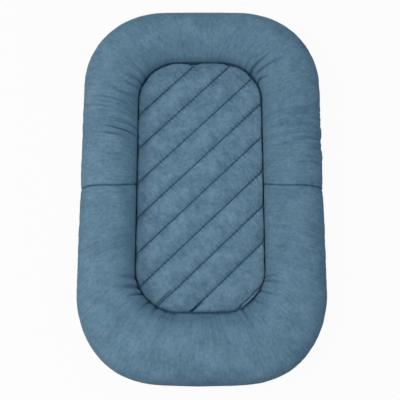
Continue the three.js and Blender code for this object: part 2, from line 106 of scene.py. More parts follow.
def add_node(tree, kind, inputs=None, **settings):
    """Adds a node. An input is a value, or the output socket that it is linked to."""
    node = tree.nodes.new(kind)
    for name, value in settings.items():
        setattr(node, name, value)
    for name, value in (inputs or {}).items():
        if isinstance(value, bpy.types.NodeSocket):
            tree.links.new(value, node.inputs[name])
        else:
            node.inputs[name].default_value = value
    return node


def new_material(name, settings):
    """A bare material with its shader's own settings, its node tree and its shader."""
    material = bpy.data.materials.new(name)
    material.use_nodes = True
    shader = material.node_tree.nodes["Principled BSDF"]
    for socket, value in settings.items():
        shader.inputs[socket].default_value = value
    return material, material.node_tree, shader


def dye(tree, tone, dark, light):
    """The colour of a pattern's tone, between a dark and a light place, each a share and a colour."""
    colours = add_node(tree, "ShaderNodeValToRGB", {"Fac": tone})
    for stop, (share, colour) in zip(colours.color_ramp.elements, (dark, light)):
        stop.position = share
        stop.color = linear(colour)
    return colours.outputs[0]

# %% [markdown]
# The stage is a pale floor under soft light. The picture's background is plain white, so the floor
# glows towards the camera and still takes a faint shadow where the ring touches it. From below it
# is see-through, so that the base cloth and the zip can be looked at. A large lamp on the left and
# a weaker one overhead hang over an even sky.

# %% Floor
FLOOR_SIZE = 12
FLOOR_DROP = 0.3 * MM  # the floor lies this far under the lounger, so that they don't share a face
FLOOR_GLOW = 0.95  # the share of the floor's white that the camera always sees
UNDERSIDE_LIGHT = 15 * MM  # light from below reaches what lies this close to the floor


def seen_rays(tree):
    """The light path, and whether a ray shows its end to the camera, directly or by a reflection."""
    rays = add_node(tree, "ShaderNodeLightPath").outputs
    seen = rays["Is Camera Ray"]
    for kind in ("Is Glossy Ray", "Is Transmission Ray"):
        seen = add_node(tree, "ShaderNodeMath", {0: seen, 1: rays[kind]}, operation="MAXIMUM").outputs[0]
    return rays, seen


bpy.ops.mesh.primitive_plane_add(size=FLOOR_SIZE, location=(0, 0, -FLOOR_DROP))
floor = bpy.context.object
floor.name = "studio_floor"
floor_paint, tree, shader = new_material("matt_white_floor", {
    "Base Color": linear("#bcbcbc"), "Roughness": 1, "Specular IOR Level": 0})
rays, seen = seen_rays(tree)
share = add_node(tree, "ShaderNodeMath", {0: seen, 1: FLOOR_GLOW}, operation="MULTIPLY")
glow = add_node(tree, "ShaderNodeEmission", {"Color": linear("#ffffff"), "Strength": 1})
painted = add_node(tree, "ShaderNodeMixShader", {
    0: share.outputs[0], 1: shader.outputs[0], 2: glow.outputs[0]})
near = add_node(tree, "ShaderNodeMath", {0: rays["Ray Length"], 1: UNDERSIDE_LIGHT}, operation="LESS_THAN")
near = add_node(tree, "ShaderNodeMath", {0: near.outputs[0], 1: rays["Is Diffuse Ray"]},
                operation="MULTIPLY")
side = add_node(tree, "ShaderNodeNewGeometry").outputs["Backfacing"]
open_floor = add_node(tree, "ShaderNodeMath", {0: near.outputs[0], 1: side}, operation="MAXIMUM")
clear = add_node(tree, "ShaderNodeBsdfTransparent")
laid = add_node(tree, "ShaderNodeMixShader", {
    0: open_floor.outputs[0], 1: painted.outputs[0], 2: clear.outputs[0]})
tree.links.new(laid.outputs[0], tree.nodes["Material Output"].inputs["Surface"])
floor.data.materials.append(floor_paint)
print("The floor is", FLOOR_SIZE, "m wide")

# %% Sky and lamps
SKY_LEVEL = 0.57
SKY_COLOUR = "#e4f0fb"
LAMP_COLOUR = "#fff4e8"
LAMP_SIZE = 1.5
LAMPS = {"key_light": (Vector((-1.3, -0.35, 2.35)), 43), "fill_light": (Vector((0.1, -0.35, 2.7)), 12)}

sky = bpy.data.worlds.new("studio_sky")
bpy.context.scene.world = sky
sky.use_nodes = True
tree = sky.node_tree
tree.nodes.clear()
rays, seen = seen_rays(tree)
lighting = add_node(tree, "ShaderNodeBackground", {"Color": linear(SKY_COLOUR), "Strength": SKY_LEVEL})
backdrop = add_node(tree, "ShaderNodeBackground", {"Color": linear("#ffffff"), "Strength": 1})
mixed = add_node(tree, "ShaderNodeMixShader", {0: seen, 1: lighting.outputs[0], 2: backdrop.outputs[0]})
add_node(tree, "ShaderNodeOutputWorld", {"Surface": mixed.outputs[0]})
for name, (place, power) in LAMPS.items():
    lamp = bpy.data.lights.new(name, "AREA")
    lamp.energy = power
    lamp.size = LAMP_SIZE
    lamp.color = linear(LAMP_COLOUR)[:3]
    holder = bpy.data.objects.new(name, lamp)
    bpy.context.scene.collection.objects.link(holder)
    holder.location = place
    holder.rotation_euler = (LOOK_AT - place).to_track_quat("-Z", "Y").to_euler()
    print("The", name, "gives", power, "W")

# %% [markdown]
# Velvet is a cloth of short upright pile. Where the pile leans another way it looks lighter or
# darker, so a handled velvet is mottled, with streaks across a stuffed tube where the hand has
# stroked it. Each piece also marks painted shade in its creases, low in the hollow, on some sides and
# at seams and stitches, where the pile is also flattened, and painted light on some slopes and rims.
# The shader mixes a dark or a light tint in there. The shader's sheen gives the cloth its soft outline.

# %% Velvet
BOLSTER_DYES = ("#47667a", "#67869b")  # the darkest and the lightest nap
# The pad is the bolster's velvet, with its light end painted lighter to offset the shade of the hollow.
PAD_DYES_PAINTED_LIGHTER = ("#46657a", "#6e8da4")
# A dark tint for painted shade, with flattened pile at seams and stitches, and a light tint for painted
# light.
PILE_AND_PAINTED_LIGHT_TINTS = {"pressed_pile_and_painted_shade": "#053e5c", "relief_or_painted_light": "#8ab8d2"}
NAP_PATCH_MM = 42
NAP_FLECK_MM = 7
PILE_MM = 1.6  # real pile is finer, but this is the finest that shows
PILE_RELIEF = 0.7 * MM


def velvet(name, dyes, streak_mm, streak_share):
    """Velvet whose streaks follow the piece's own map: the first size is along it, the second across."""
    material, tree, shader = new_material(name, {
        "Roughness": 0.9, "Specular IOR Level": 0.1, "Sheen Weight": 0.12, "Sheen Roughness": 0.5,
        "Sheen Tint": linear("#a9c4d6")})
    own_map = add_node(tree, "ShaderNodeUVMap", uv_map="cloth_mm").outputs[0]
    stretch = add_node(tree, "ShaderNodeMapping", {
        "Vector": own_map, "Scale": (1 / streak_mm[0], 1 / streak_mm[1], 1)})
    streaks = add_node(tree, "ShaderNodeTexNoise", {"Vector": stretch.outputs[0], "Scale": 1, "Detail": 2})
    place = add_node(tree, "ShaderNodeTexCoord").outputs["Object"]
    patches, flecks, pile = [
        add_node(tree, "ShaderNodeTexNoise", {"Vector": place, "Detail": detail, "Scale": 1 / (size * MM)})
        for size, detail in ((NAP_PATCH_MM, 2), (NAP_FLECK_MM, 3), (PILE_MM, 2))]
    cloudy = add_node(tree, "ShaderNodeMix", {"Factor": 0.5, "A": patches.outputs[0], "B": flecks.outputs[0]})
    nap = add_node(tree, "ShaderNodeMix", {
        "Factor": streak_share, "A": cloudy.outputs[0], "B": streaks.outputs[0]})
    colour = dye(tree, nap.outputs[0], (0.32, dyes[0]), (0.68, dyes[1]))
    # Each piece's marks mix in the painted shade and the painted light.
    for lean, tint in PILE_AND_PAINTED_LIGHT_TINTS.items():
        amount = add_node(tree, "ShaderNodeAttribute", attribute_name=lean).outputs["Fac"]
        colour = add_node(tree, "ShaderNodeMix", {"Factor": amount, "A": colour, "B": linear(tint)},
                          data_type="RGBA").outputs["Result"]
    tree.links.new(colour, shader.inputs["Base Color"])
    relief = add_node(tree, "ShaderNodeMix", {"Factor": 0.5, "A": pile.outputs[0], "B": nap.outputs[0]})
    bump = add_node(tree, "ShaderNodeBump", {
        "Height": relief.outputs[0], "Distance": PILE_RELIEF, "Strength": 0.5})
    tree.links.new(bump.outputs[0], shader.inputs["Normal"])
    return material


bolster_velvet = velvet("velvet_stroked_across", BOLSTER_DYES, (4.5, 22), 0.31)
pad_velvet = velvet("velvet_mottled", PAD_DYES_PAINTED_LIGHTER, (18, 18), 0.3)
print("Velvets:", bolster_velvet.name, "and", pad_velvet.name)

# %% [markdown]
# The other finishes are plain: woven lining, loose polyester fibre, open-cell foam, sewing thread,
# woven zip tape, moulded nylon and plated zinc. Each is named for how it was made, and the sizes of
# its pattern are real sizes, or the finest that a picture of the whole lounger can show. All but the
# zinc are one pattern that gives both the tones and the relief.

# %% Helpers for the plain finishes
def two_toned(name, pattern, dark, light, relief_mm, settings):
    """A material that runs from a dark to a light tone over a pattern, and stands out with it."""
    material, tree, shader = new_material(name, settings)
    tone, relief_or_painted_light = pattern(tree, add_node(tree, "ShaderNodeTexCoord").outputs["Object"])
    tree.links.new(dye(tree, tone, dark, light), shader.inputs["Base Color"])
    if relief_mm:
        bump = add_node(tree, "ShaderNodeBump", {"Height": relief_or_painted_light, "Distance": relief_mm * MM})
        tree.links.new(bump.outputs[0], shader.inputs["Normal"])
    print("Mixed", name)
    return material


def texture(kind, size_mm, output, inputs, **settings):
    """A pattern made by one texture at a real size."""
    def pattern(tree, place):
        inputs_here = {"Vector": place, "Scale": 1 / (size_mm * MM), **inputs}
        made = add_node(tree, kind, inputs_here, **settings).outputs[output]
        return made, made
    return pattern

# %% Lining, fibre and foam
WEAVE_MM = 0.9  # the real thread spacing is about 0.4 mm
SLUB_MM = 11.1
FIBRE_MM = 5
PORE_MM = 1.4


def square_weave(tree, place):
    """Warp and weft that cross, with faint uneven threads."""
    warp, weft = [
        add_node(tree, "ShaderNodeTexWave", {"Vector": place, "Distortion": 0.6, "Detail": 1,
                                             "Scale": 2 * math.pi / (20 * WEAVE_MM * MM)},
                 bands_direction=way).outputs[1] for way in "XY"]
    weave = add_node(tree, "ShaderNodeMath", {0: warp, 1: weft}, operation="MULTIPLY").outputs[0]
    slubs = add_node(tree, "ShaderNodeTexNoise", {"Vector": place, "Scale": 1 / (SLUB_MM * MM), "Detail": 3})
    tone = add_node(tree, "ShaderNodeMath", {0: weave, 1: 0.35, 2: slubs.outputs[0]},
                    operation="MULTIPLY_ADD")
    return tone.outputs[0], weave


lining = two_toned("plain_woven_lining", square_weave, (0.35, "#51758d"), (0.85, "#6c8ea4"), 0.25,
                   {"Roughness": 0.85, "Specular IOR Level": 0.3})
tufts = texture("ShaderNodeTexNoise", FIBRE_MM, 0, {"Detail": 6, "Distortion": 2.5})
fibre = two_toned("loose_polyester_fibre", tufts, (0.3, "#dddbd4"), (0.7, "#f4f3ee"), 2,
                  {"Roughness": 1, "Sheen Weight": 0.3})
pores = texture("ShaderNodeTexVoronoi", PORE_MM, "Distance", {})
foam = two_toned("open_cell_foam", pores, (0, "#d9d0b8"), (0.5, "#f1ebdb"), 0.6, {"Roughness": 1})

# %% Thread, tape, nylon and zinc
TWIST_MM = 0.8
HERRINGBONE_MM = 2.4
RIB_MM = 1.1
CAST_MM = 2.5
SCRATCH_MM = 0.5


def herringbone(tree, place):
    """Diagonal ribs that turn back at each band."""
    axes = add_node(tree, "ShaderNodeSeparateXYZ", {0: place}).outputs
    value = axes[0]
    for operation, second in (("PINGPONG", HERRINGBONE_MM * MM), ("ADD", axes[1]),
                              ("MULTIPLY", 2 * math.pi / (RIB_MM * MM))):
        value = add_node(tree, "ShaderNodeMath", {0: value, 1: second}, operation=operation).outputs[0]
    ribs = add_node(tree, "ShaderNodeMath", {0: value}, operation="SINE").outputs[0]
    tone = add_node(tree, "ShaderNodeMath", {0: ribs, 1: 0.5, 2: 0.5}, operation="MULTIPLY_ADD").outputs[0]
    return tone, tone


def plated_zinc():
    """Die-cast zinc, plated and tumbled to a satin finish with fine scratches."""
    material, tree, shader = new_material("plated_zinc", {"Base Color": linear("#b9bfc4"), "Metallic": 1})
    place = add_node(tree, "ShaderNodeTexCoord").outputs["Object"]
    scratches = add_node(tree, "ShaderNodeTexNoise", {
        "Vector": place, "Detail": 4, "Scale": 1 / (SCRATCH_MM * MM), "Distortion": 1.5})
    gloss = add_node(tree, "ShaderNodeMapRange", {
        "Value": scratches.outputs[0], "From Min": 0.3, "From Max": 0.7, "To Min": 0.26, "To Max": 0.42})
    tree.links.new(gloss.outputs[0], shader.inputs["Roughness"])
    bump = add_node(tree, "ShaderNodeBump", {"Height": scratches.outputs[0], "Distance": 0.03 * MM})
    tree.links.new(bump.outputs[0], shader.inputs["Normal"])
    return material


plies = texture("ShaderNodeTexWave", TWIST_MM, 1, {"Distortion": 1}, bands_direction="DIAGONAL")
thread = two_toned("spun_sewing_thread", plies, (0, "#1d3646"), (1, "#2f4d62"), 0.1, {"Roughness": 0.6})
tape_weave = two_toned("herringbone_tape", herringbone, (0, "#2f4759"), (1, "#45627a"), 0.15,
                       {"Roughness": 0.8})
cast = texture("ShaderNodeTexNoise", CAST_MM, 0, {"Detail": 2})
nylon = two_toned("moulded_nylon", cast, (0, "#2a3c4b"), (1, "#3d5466"), 0, {"Roughness": 0.42, "IOR": 1.53})
zinc = plated_zinc()

# %% [markdown]
# The ring is one long tube, so it is easiest to think of it as a flat strip of cloth: one direction
# runs round the ring, and the other round the tube. A grid primitive is that strip. Each of its
# points is moved to its place on the ring, and the grid's map is kept as millimetres of cloth, so
# that streaks and weave follow the tube round its corners. These helpers read, move and mark points.

# %% Helpers for meshes
def deselect():
    if bpy.context.object and bpy.context.object.mode != "OBJECT":
        bpy.ops.object.mode_set(mode="OBJECT")
    bpy.ops.object.select_all(action="DESELECT")


def take_up(piece):
    """Makes a piece the only one selected."""
    deselect()
    piece.select_set(True)
    bpy.context.view_layer.objects.active = piece


def bare_primitive(name):
    """Names the primitive just made and takes its maps away."""
    piece = bpy.context.object
    piece.name = name
    while piece.data.uv_layers:
        piece.data.uv_layers.remove(piece.data.uv_layers[0])
    return piece


def points_of(piece, normals=False):
    values = np.zeros(len(piece.data.vertices) * 3)
    piece.data.vertices.foreach_get("normal" if normals else "co", values)
    return values.reshape(-1, 3)


def move_points(piece, points):
    piece.data.vertices.foreach_set("co", np.ascontiguousarray(points, float).ravel())
    piece.data.update()


def corner_points(piece):
    corner = np.zeros(len(piece.data.loops), int)
    piece.data.loops.foreach_get("vertex_index", corner)
    return corner


def keep_map(piece, along, across):
    """The piece's own map, in millimetres of cloth at each point."""
    layer = piece.data.uv_layers.get("cloth_mm") or piece.data.uv_layers.new(name="cloth_mm")
    layer.data.foreach_set("uv", np.column_stack([along, across])[corner_points(piece)].ravel() / MM)


def mapped_places(piece):
    """What the piece's own map gives at each point, in metres of cloth along and across."""
    corner = corner_points(piece)
    pairs = np.zeros(len(corner) * 2)
    piece.data.uv_layers["cloth_mm"].data.foreach_get("uv", pairs)
    found = np.zeros((len(piece.data.vertices), 2))
    found[corner] = pairs.reshape(-1, 2)
    return found.T * MM


def mark(piece, name, amount):
    """Marks how much of a named tint, painted shade or painted light, each point takes."""
    layer = piece.data.attributes.new(name, "FLOAT", "POINT")
    layer.data.foreach_set("value", np.clip(amount, 0, 1).astype(np.float32))


def strip(name, columns, rows):
    """A grid primitive, with the shares of its points along its columns and its rows."""
    deselect()
    bpy.ops.mesh.primitive_grid_add(x_subdivisions=columns, y_subdivisions=rows, size=1)
    piece = bare_primitive(name)
    shares = points_of(piece)[:, :2] + 0.5
    return piece, shares[:, 0], shares[:, 1]


def apply(piece, kind, **settings):
    """Adds a modifier with its settings and applies it."""
    take_up(piece)
    modifier = piece.modifiers.new(kind.lower(), kind)
    for name, value in settings.items():
        setattr(modifier, name, value)
    bpy.ops.object.modifier_apply(modifier=modifier.name)


def finish(piece, material, slot, *nodes, body="lounger", fill=None):
    """The calls that every piece needs: smooth faces, its material, its body and what it replaces."""
    take_up(piece)
    bpy.ops.object.transform_apply(location=True, rotation=True, scale=True)
    piece.data.polygons.foreach_set("use_smooth", [True] * len(piece.data.polygons))
    piece.data.materials.clear()
    piece.data.materials.append(material)
    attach(piece, body)
    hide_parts(*nodes)
    print(piece.name, len(piece.data.polygons), "faces")
    return piece

# %% Helpers for shapes
LATTICE = (97, 89)  # the random values repeat after this many cells


def smooth(value):
    """An even ramp from 0 to 1 with level ends."""
    value = np.clip(value, 0, 1)
    return value * value * (3 - 2 * value)


def ramp(value, start, stop):
    """The same ramp between two values."""
    return smooth((value - start) / (stop - start))


def hump(value, width):
    """A bell that is 1 at zero."""
    return np.exp(-((value / width) ** 2))


def unevenness(x, y, cell_x, cell_y, seed):
    """Smooth random values from -1 to 1, in cells of the given size."""
    lattice = np.random.default_rng(seed).uniform(-1, 1, LATTICE)
    column = np.floor(x / cell_x).astype(int)
    row = np.floor(y / cell_y).astype(int)
    across = smooth(x / cell_x - column)
    up = smooth(y / cell_y - row)
    corner = lambda i, j: lattice[(column + i) % LATTICE[0], (row + j) % LATTICE[1]]
    lower = corner(0, 0) * (1 - across) + corner(1, 0) * across
    upper = corner(0, 1) * (1 - across) + corner(1, 1) * across
    return lower * (1 - up) + upper * up


def run_along(line):
    """How far each point of a line lies from its start, measured along it."""
    return np.concatenate([[0], np.cumsum(np.linalg.norm(np.diff(line, axis=0), axis=1))])


def points_at(line, run, places):
    """The points of a line at places along it."""
    return np.column_stack([np.interp(places, run, values) for values in line.T])


print("One bell is", round(float(hump(1, 1)), 2), "high at its width")

# %% [markdown]
# Seen from above, the ring has an outer and an inner outline. Both are rectangles with large rounded
# corners, and the ends of the outer one draw in slightly where they turn. The script walks both
# outlines at the same shares of their length, so that a strip between them stays square to the tube.

# %% Outlines of the ring
HALF_WIDTH = cad_high.x
END_Y = cad_high.y
PAD_EASE = 1 * MM
pad_low, pad_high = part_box("pad_piping")
HOLLOW_X = pad_high.x + PAD_EASE
HOLLOW_END_Y = {1: pad_high.y + PAD_EASE, -1: pad_low.y - PAD_EASE}  # at the head and at the foot
HOLLOW_CORNER = 102 * MM
HOLLOW_LEAN = -4 * MM  # the stuffing is a little fuller on the right, which pushes the hollow over
OUTER_CORNER = {1: (188 * MM, 188 * MM), -1: (185 * MM, 208 * MM)}
SEAM_Y = -3 * MM
END_BOW = {1: 1.6 * MM, -1: 3.2 * MM}  # how far the outline draws in where an end turns
BOW_X = 140 * MM
BOW_SPREAD = 55 * MM
hollow_middle = np.array([HOLLOW_LEAN, (HOLLOW_END_Y[1] + HOLLOW_END_Y[-1]) / 2])


def half_outline(share, end, half_width, end_y, corner, joints, lean=0):
    """Plan points from the right seam round one end (1 head, -1 foot) to the left seam."""
    quarter = 2 * np.minimum(share, 1 - share)
    side_end, corner_end = joints
    across, along = corner
    on_side = np.clip(quarter / side_end, 0, 1)
    turn = np.clip((quarter - side_end) / (corner_end - side_end), 0, 1) * math.pi / 2
    on_end = np.clip((quarter - corner_end) / (1 - corner_end), 0, 1)
    x = (half_width - across) * (1 - on_end) + across * np.cos(turn)
    y = SEAM_Y + (end_y - end * along - SEAM_Y) * on_side + end * along * np.sin(turn)
    return np.column_stack([lean + np.where(share < 0.5, x, -x), y])


def outline_joints(end):
    """The shares of a quarter ring at which its side ends and its corner ends, and its length."""
    across, along = OUTER_CORNER[end]
    side = abs(end * (END_Y - along) - SEAM_Y) + abs(HOLLOW_END_Y[end] - end * HOLLOW_CORNER - SEAM_Y)
    corner = (math.hypot(across, along) / math.sqrt(2) + HOLLOW_CORNER) * math.pi / 2
    straight = HALF_WIDTH - across + HOLLOW_X - HOLLOW_CORNER
    total = side + corner + straight
    return (side / total, (side + corner) / total), total / 2


def hollow_outline(share, end, inset=0):
    """The hollow's outline, moved inwards by an inset."""
    corner = HOLLOW_CORNER - inset
    end_y = HOLLOW_END_Y[end] - end * inset
    joints, _ = outline_joints(end)
    return half_outline(share, end, HOLLOW_X - inset, end_y, (corner, corner), joints, HOLLOW_LEAN)


def ring_plan(share, end):
    """The middle of the tube, its direction outwards and its half width, at shares of a half ring."""
    joints, _ = outline_joints(end)
    outer = half_outline(share, end, HALF_WIDTH, end * END_Y, OUTER_CORNER[end], joints)
    on_end = end * outer[:, 1] > END_Y / 2
    outer[:, 1] -= end * END_BOW[end] * hump(np.abs(outer[:, 0]) - BOW_X, BOW_SPREAD) * on_end
    inner = hollow_outline(share, end)
    width = np.linalg.norm(outer - inner, axis=1)
    return (outer + inner) / 2, (outer - inner) / width[:, None], width / 2


def beyond_corners(plan):
    """How far plan points lie past the middles of the hollow's corners, each way."""
    half_size = [HOLLOW_X, HOLLOW_END_Y[1] - hollow_middle[1]]
    return np.abs(plan - hollow_middle) + HOLLOW_CORNER - half_size


def inside_hollow(plan, inset=0):
    """How far plan points lie inside the hollow's outline, moved inwards by an inset."""
    beyond = beyond_corners(plan)
    outside = np.linalg.norm(np.maximum(beyond, 0), axis=1)
    return HOLLOW_CORNER - inset - outside - np.minimum(beyond.max(axis=1), 0)


def outwards_from_hollow(plan):
    """The plan direction that leads straight out of the hollow."""
    beyond = beyond_corners(plan)
    straight = np.where(beyond[:, :1] > beyond[:, 1:], [1.0, 0.0], [0.0, 1.0])
    way = np.where(beyond.max(axis=1, keepdims=True) > 0, np.maximum(beyond, 0), straight)
    side = np.where(plan < hollow_middle, -1, 1)
    return side * way / np.maximum(np.linalg.norm(way, axis=1, keepdims=True), 1e-9)


def push_out(plan, distance):
    """Moves plan points straight out of the hollow, in place."""
    plan += outwards_from_hollow(plan) * distance[:, None]


print("Half of the head end is", round(outline_joints(1)[1] / MM), "mm long along its middle")

# %% [markdown]
# Cut across, the stuffed tube is an oval that is flatter at its crown and stands on a flat base. A
# superellipse gives that with one power. An angle runs from the tube's outer side over the crown to
# the hollow, and a table makes its steps even, so that the strip's squares keep one size.

# %% Section of the tube
EQUATOR = 60 * MM
CROWN = cad_high.z - EQUATOR
UNDER = 66 * MM
SECTION_POWER = 2.25
BASE_TOP = 1.8 * MM
FLOOR_TOP = 9.49 * MM
TYPICAL_HALF_WIDTH = 70 * MM
TABLE_STEPS = 2000


def signed_power(value):
    return np.sign(value) * np.abs(value) ** (2 / SECTION_POWER)


def angle_at(height):
    return math.asin(((EQUATOR - height) / UNDER) ** (SECTION_POWER / 2))


def tube_points(share, angle, end, depth=0):
    """Points on the ring's tube, at an angle round its section and at a depth under its face."""
    middle, outwards, half_width = ring_plan(share, end)
    angle = angle + 0 * share
    reach = (half_width - depth) * signed_power(np.cos(angle))
    height = np.where(np.sin(angle) > 0, CROWN, UNDER) - depth
    z = EQUATOR + height * signed_power(np.sin(angle))
    return np.column_stack([middle + outwards * reach[:, None], np.maximum(z, BASE_TOP)])


def even_angles(start, stop):
    """A table that gives the angle at an even share of the way round the tube, and that way's length."""
    angles = np.linspace(start, stop, TABLE_STEPS)
    height = np.where(np.sin(angles) > 0, CROWN, UNDER)
    run = run_along(np.column_stack([TYPICAL_HALF_WIDTH * signed_power(np.cos(angles)),
                                     height * signed_power(np.sin(angles))]))
    return run / run[-1], angles, run[-1]


OUTER_EDGE = -angle_at(BASE_TOP)
INNER_EDGE = math.pi + angle_at(FLOOR_TOP)
cover_shares, cover_angles, COVER_GIRTH = even_angles(OUTER_EDGE, INNER_EDGE)
print("The cover is", round(COVER_GIRTH / MM), "mm of cloth from edge to edge")

# %% [markdown]
# Padded cloth looks real when it has really been blown up. The strip is held along its edges and its
# seams, a little spare cloth is allowed where the tube turns the hollow's corners, and air pressure
# pushes it out for twenty steps. A cap on the moves keeps it near the size that the model gives.

# %% Helper that inflates cloth
AIR_PRESSURE = 4
AIR_STEPS = 20
CLOTH_QUALITY = 5


def inflate(piece, held, spare, growth, limit):
    """Blows a piece up. held and spare are shares at each point, and growth is the most spare cloth."""
    before = points_of(piece)
    for name, shares in (("held", held), ("spare", spare)):
        group = piece.vertex_groups.new(name=name)
        for level in np.unique(np.round(shares, 1)):
            members = np.flatnonzero(np.round(shares, 1) == level)
            if level > 0:
                group.add(members.tolist(), float(level), "REPLACE")
    cloth = piece.modifiers.new("air", "CLOTH")
    cloth.point_cache.frame_start = 1
    cloth.point_cache.frame_end = AIR_STEPS
    cloth.settings.quality = CLOTH_QUALITY
    cloth.settings.use_pressure = True
    cloth.settings.uniform_pressure_force = AIR_PRESSURE
    cloth.settings.effector_weights.gravity = 0
    cloth.settings.vertex_group_mass = "held"
    cloth.settings.vertex_group_shrink = "spare"
    cloth.settings.shrink_max = -growth
    take_up(piece)
    for step in range(1, AIR_STEPS + 1):
        bpy.context.scene.frame_set(step)
    bpy.ops.object.modifier_apply(modifier="air")
    bpy.context.scene.frame_set(1)
    piece.vertex_groups.clear()
    moves = points_of(piece) - before
    length = np.linalg.norm(moves, axis=1)
    moves *= (np.minimum(length, limit) / np.maximum(length, 1e-9))[:, None]
    move_points(piece, before + moves)
    print(piece.name, "moved up to", round(length.max() / MM, 1), "mm, kept to", limit / MM)

# %% [markdown]
# On the real bolster the cloth folds where it turns the hollow's corners, and fine ribs run across
# the tube wherever its stuffing is packed tightly. Creases that can be told apart in the picture are
# placed one by one in plan. The ribs are only a pattern, stronger in the places where they show.

# %% Creases and ribs
# A crease runs from a point at the hollow to a point towards the outside, both in millimetres of
# plan, and has its width and its depth.
CREASES = [
    ((114, 294), (163, 323), 2.7, 4.4),
    ((146, 292), (202, 315), 2.5, 3.7),
    ((131, 274), (167, 270), 2.5, 4.1),
    ((103, 303), (128, 330), 2.7, 2.0),
    ((-112, 294), (-150, 322), 5.1, 1.7),
    ((-130, 280), (-176, 306), 3.8, 2.4),
    ((-140, 266), (-192, 278), 3.4, 2.7),
    ((-146, 250), (-205, 258), 3.4, 2.0),
    ((-150, 226), (-210, 230), 3.4, 1.5),
    ((-130, -247), (-166, -256), 3.0, 4.8),
    ((-142, -232), (-205, -237), 5.1, 3.7),
    ((-148, -210), (-198, -211), 5.1, 2.7),
    ((-115, -264), (-146, -296), 4.2, 2.5),
    ((-100, -276), (-120, -312), 4.2, 2.0),
    ((-80, -286), (-92, -322), 4.2, 1.5),
    ((142, -208), (188, -209), 3.0, 2.7),
    ((150, -219), (194, -232), 3.0, 3.1),
    ((136, -242), (186, -262), 3.4, 2.5),
    ((120, -262), (156, -290), 3.8, 1.9),
    ((92, -284), (108, -320), 3.8, 2.2),
    ((-174, 131), (-236, 143), 1.8, 5.5),
    ((-205, 121), (-252, 128), 2.2, 2.6),
    ((-166, 150), (-232, 156), 2.2, 2.2),
    ((258, 5), (277, 5), 2.0, 1.5),
]
# Ribs are stronger round a plan point, over a spread, both in millimetres, by a strength.
RIBBED_PLACES = [
    ((-200, 205), 60, 1.4),
    ((-215, 150), 45, 1.3),
    ((262, 150), 85, 2.0),
    ((266, 60), 60, 1.6),
    ((-70, -305), 50, 0.65),
    ((20, -305), 60, 0.6),
    ((90, -300), 40, 0.7),
    ((-20, 340), 70, 0.8),
    ((80, 335), 50, 0.6),
    ((-262, -60), 90, 0.4),
    ((262, -90), 90, 0.4),
]
RIB_WIDTH = 5.5 * MM
RIB_LENGTH = 55 * MM
RIB_DEPTH = 1.5 * MM
RIB_EVERYWHERE = 0.2
RIB_SIDES = 0.5
RIB_INNER_SIDE = 0.4
INNER_SIDE_SHARES = (0.45, 0.7)  # of the cover's girth
CREASE_LIP = 0.45  # the cloth beside a crease swells by this share of its depth
CREASE_LIP_PLACE = 2.1  # in widths of the crease


def creased(plan, creases):
    """How far the cloth sinks at plan points, in metres."""
    sink = np.zeros(len(plan))
    for start, stop, width, depth in creases:
        start, stop = np.array(start) * MM, np.array(stop) * MM
        length = np.linalg.norm(stop - start)
        along = (stop - start) / length
        run = (plan - start) @ along / length
        side = (plan - start) @ np.array([-along[1], along[0]]) / (width * MM)
        shape = hump(side, 1) - CREASE_LIP * hump(np.abs(side) - CREASE_LIP_PLACE, 1)
        fade = ramp(run, -0.5, -0.05) * (1 - smooth(run)) ** 0.7
        sink += depth * MM * shape * fade
    return sink


def ribbed(plan, along, girth):
    """Fine ribs across the tube, stronger in some places."""
    strength = np.full(len(plan), RIB_EVERYWHERE)
    for place, spread, most in RIBBED_PLACES:
        strength += most * hump(np.linalg.norm(plan / MM - place, axis=1), spread)
    strength += RIB_INNER_SIDE * ramp(girth / COVER_GIRTH, *INNER_SIDE_SHARES)
    strength += RIB_SIDES * np.abs(outwards_from_hollow(plan)[:, 0])
    fine = unevenness(along, girth, RIB_WIDTH, RIB_LENGTH, 21)
    broad = unevenness(along, girth, RIB_WIDTH * 2.3, RIB_LENGTH * 1.3, 22)
    patch = 0.65 + 0.35 * unevenness(along, girth, 45 * MM, 60 * MM, 23)
    return RIB_DEPTH * strength * patch * (0.6 * fine + 0.4 * broad)


print(len(CREASES), "creases and", len(RIBBED_PLACES), "ribbed places")

# %% [markdown]
# The cover is two velvet halves, sewn together across both sides of the ring. The thread draws each
# seam into a groove that dimples the cloth beside it, and the seam swings towards the head as it
# goes down into the hollow. Under its widest line the stuffing presses the cover against the pad.

# %% Shape of the cover
SEAM_DRAW = 2.5 * MM
SEAM_GROOVE = 3.5 * MM
SEAM_DIMPLE = 16 * MM
SEAM_LINE = 2 * MM
SEAM_SWING = 12 * MM
SEAM_HOOK = 6 * MM
SEAM_FADE = 70 * MM
HELD_EDGE = 8 * MM
HOLLOW_EASE = 0.3 * MM  # the cover comes this far into the hollow at most
WALL_EASE = 0.8 * MM  # under its widest line it stays this far outside that
CREASE_SHADE = 7 * MM  # a crease this deep gets the full painted shade
RIB_SHADE = 5 * MM
# Stretches of the cover's girth, as shares from its outer to its inner edge.
# The flank and foot-side stretches take painted shade, and the lit slope painted light.
FLANK_SHADE_SHARES = (0.36, 0.22)
FOOT_SIDE_SHADE_SHARES = (0.58, 0.7)
LIT_SLOPE_SHARES = (0.66, 0.76)
WALL_SHARES = (0.83, 0.86)
WALL_FOOT_SHARES = (0.975, 0.955)
# Painted shade on the inner wall, in the crease where it meets the pad, starts at this share of the girth.
WALL_SHADE_SHARE = 0.815
WALL_SHADE_RAMP = 0.03


def seam_swing(angle, from_seam):
    """How far the seam's cloth lies towards the head, which is most where it goes into the hollow."""
    turned = angle / math.pi
    swing = SEAM_SWING * ramp(turned, 0.55, 1) + SEAM_HOOK * ramp(turned, 0.82, 1.02)
    return swing * (1 - smooth(from_seam / SEAM_FADE))


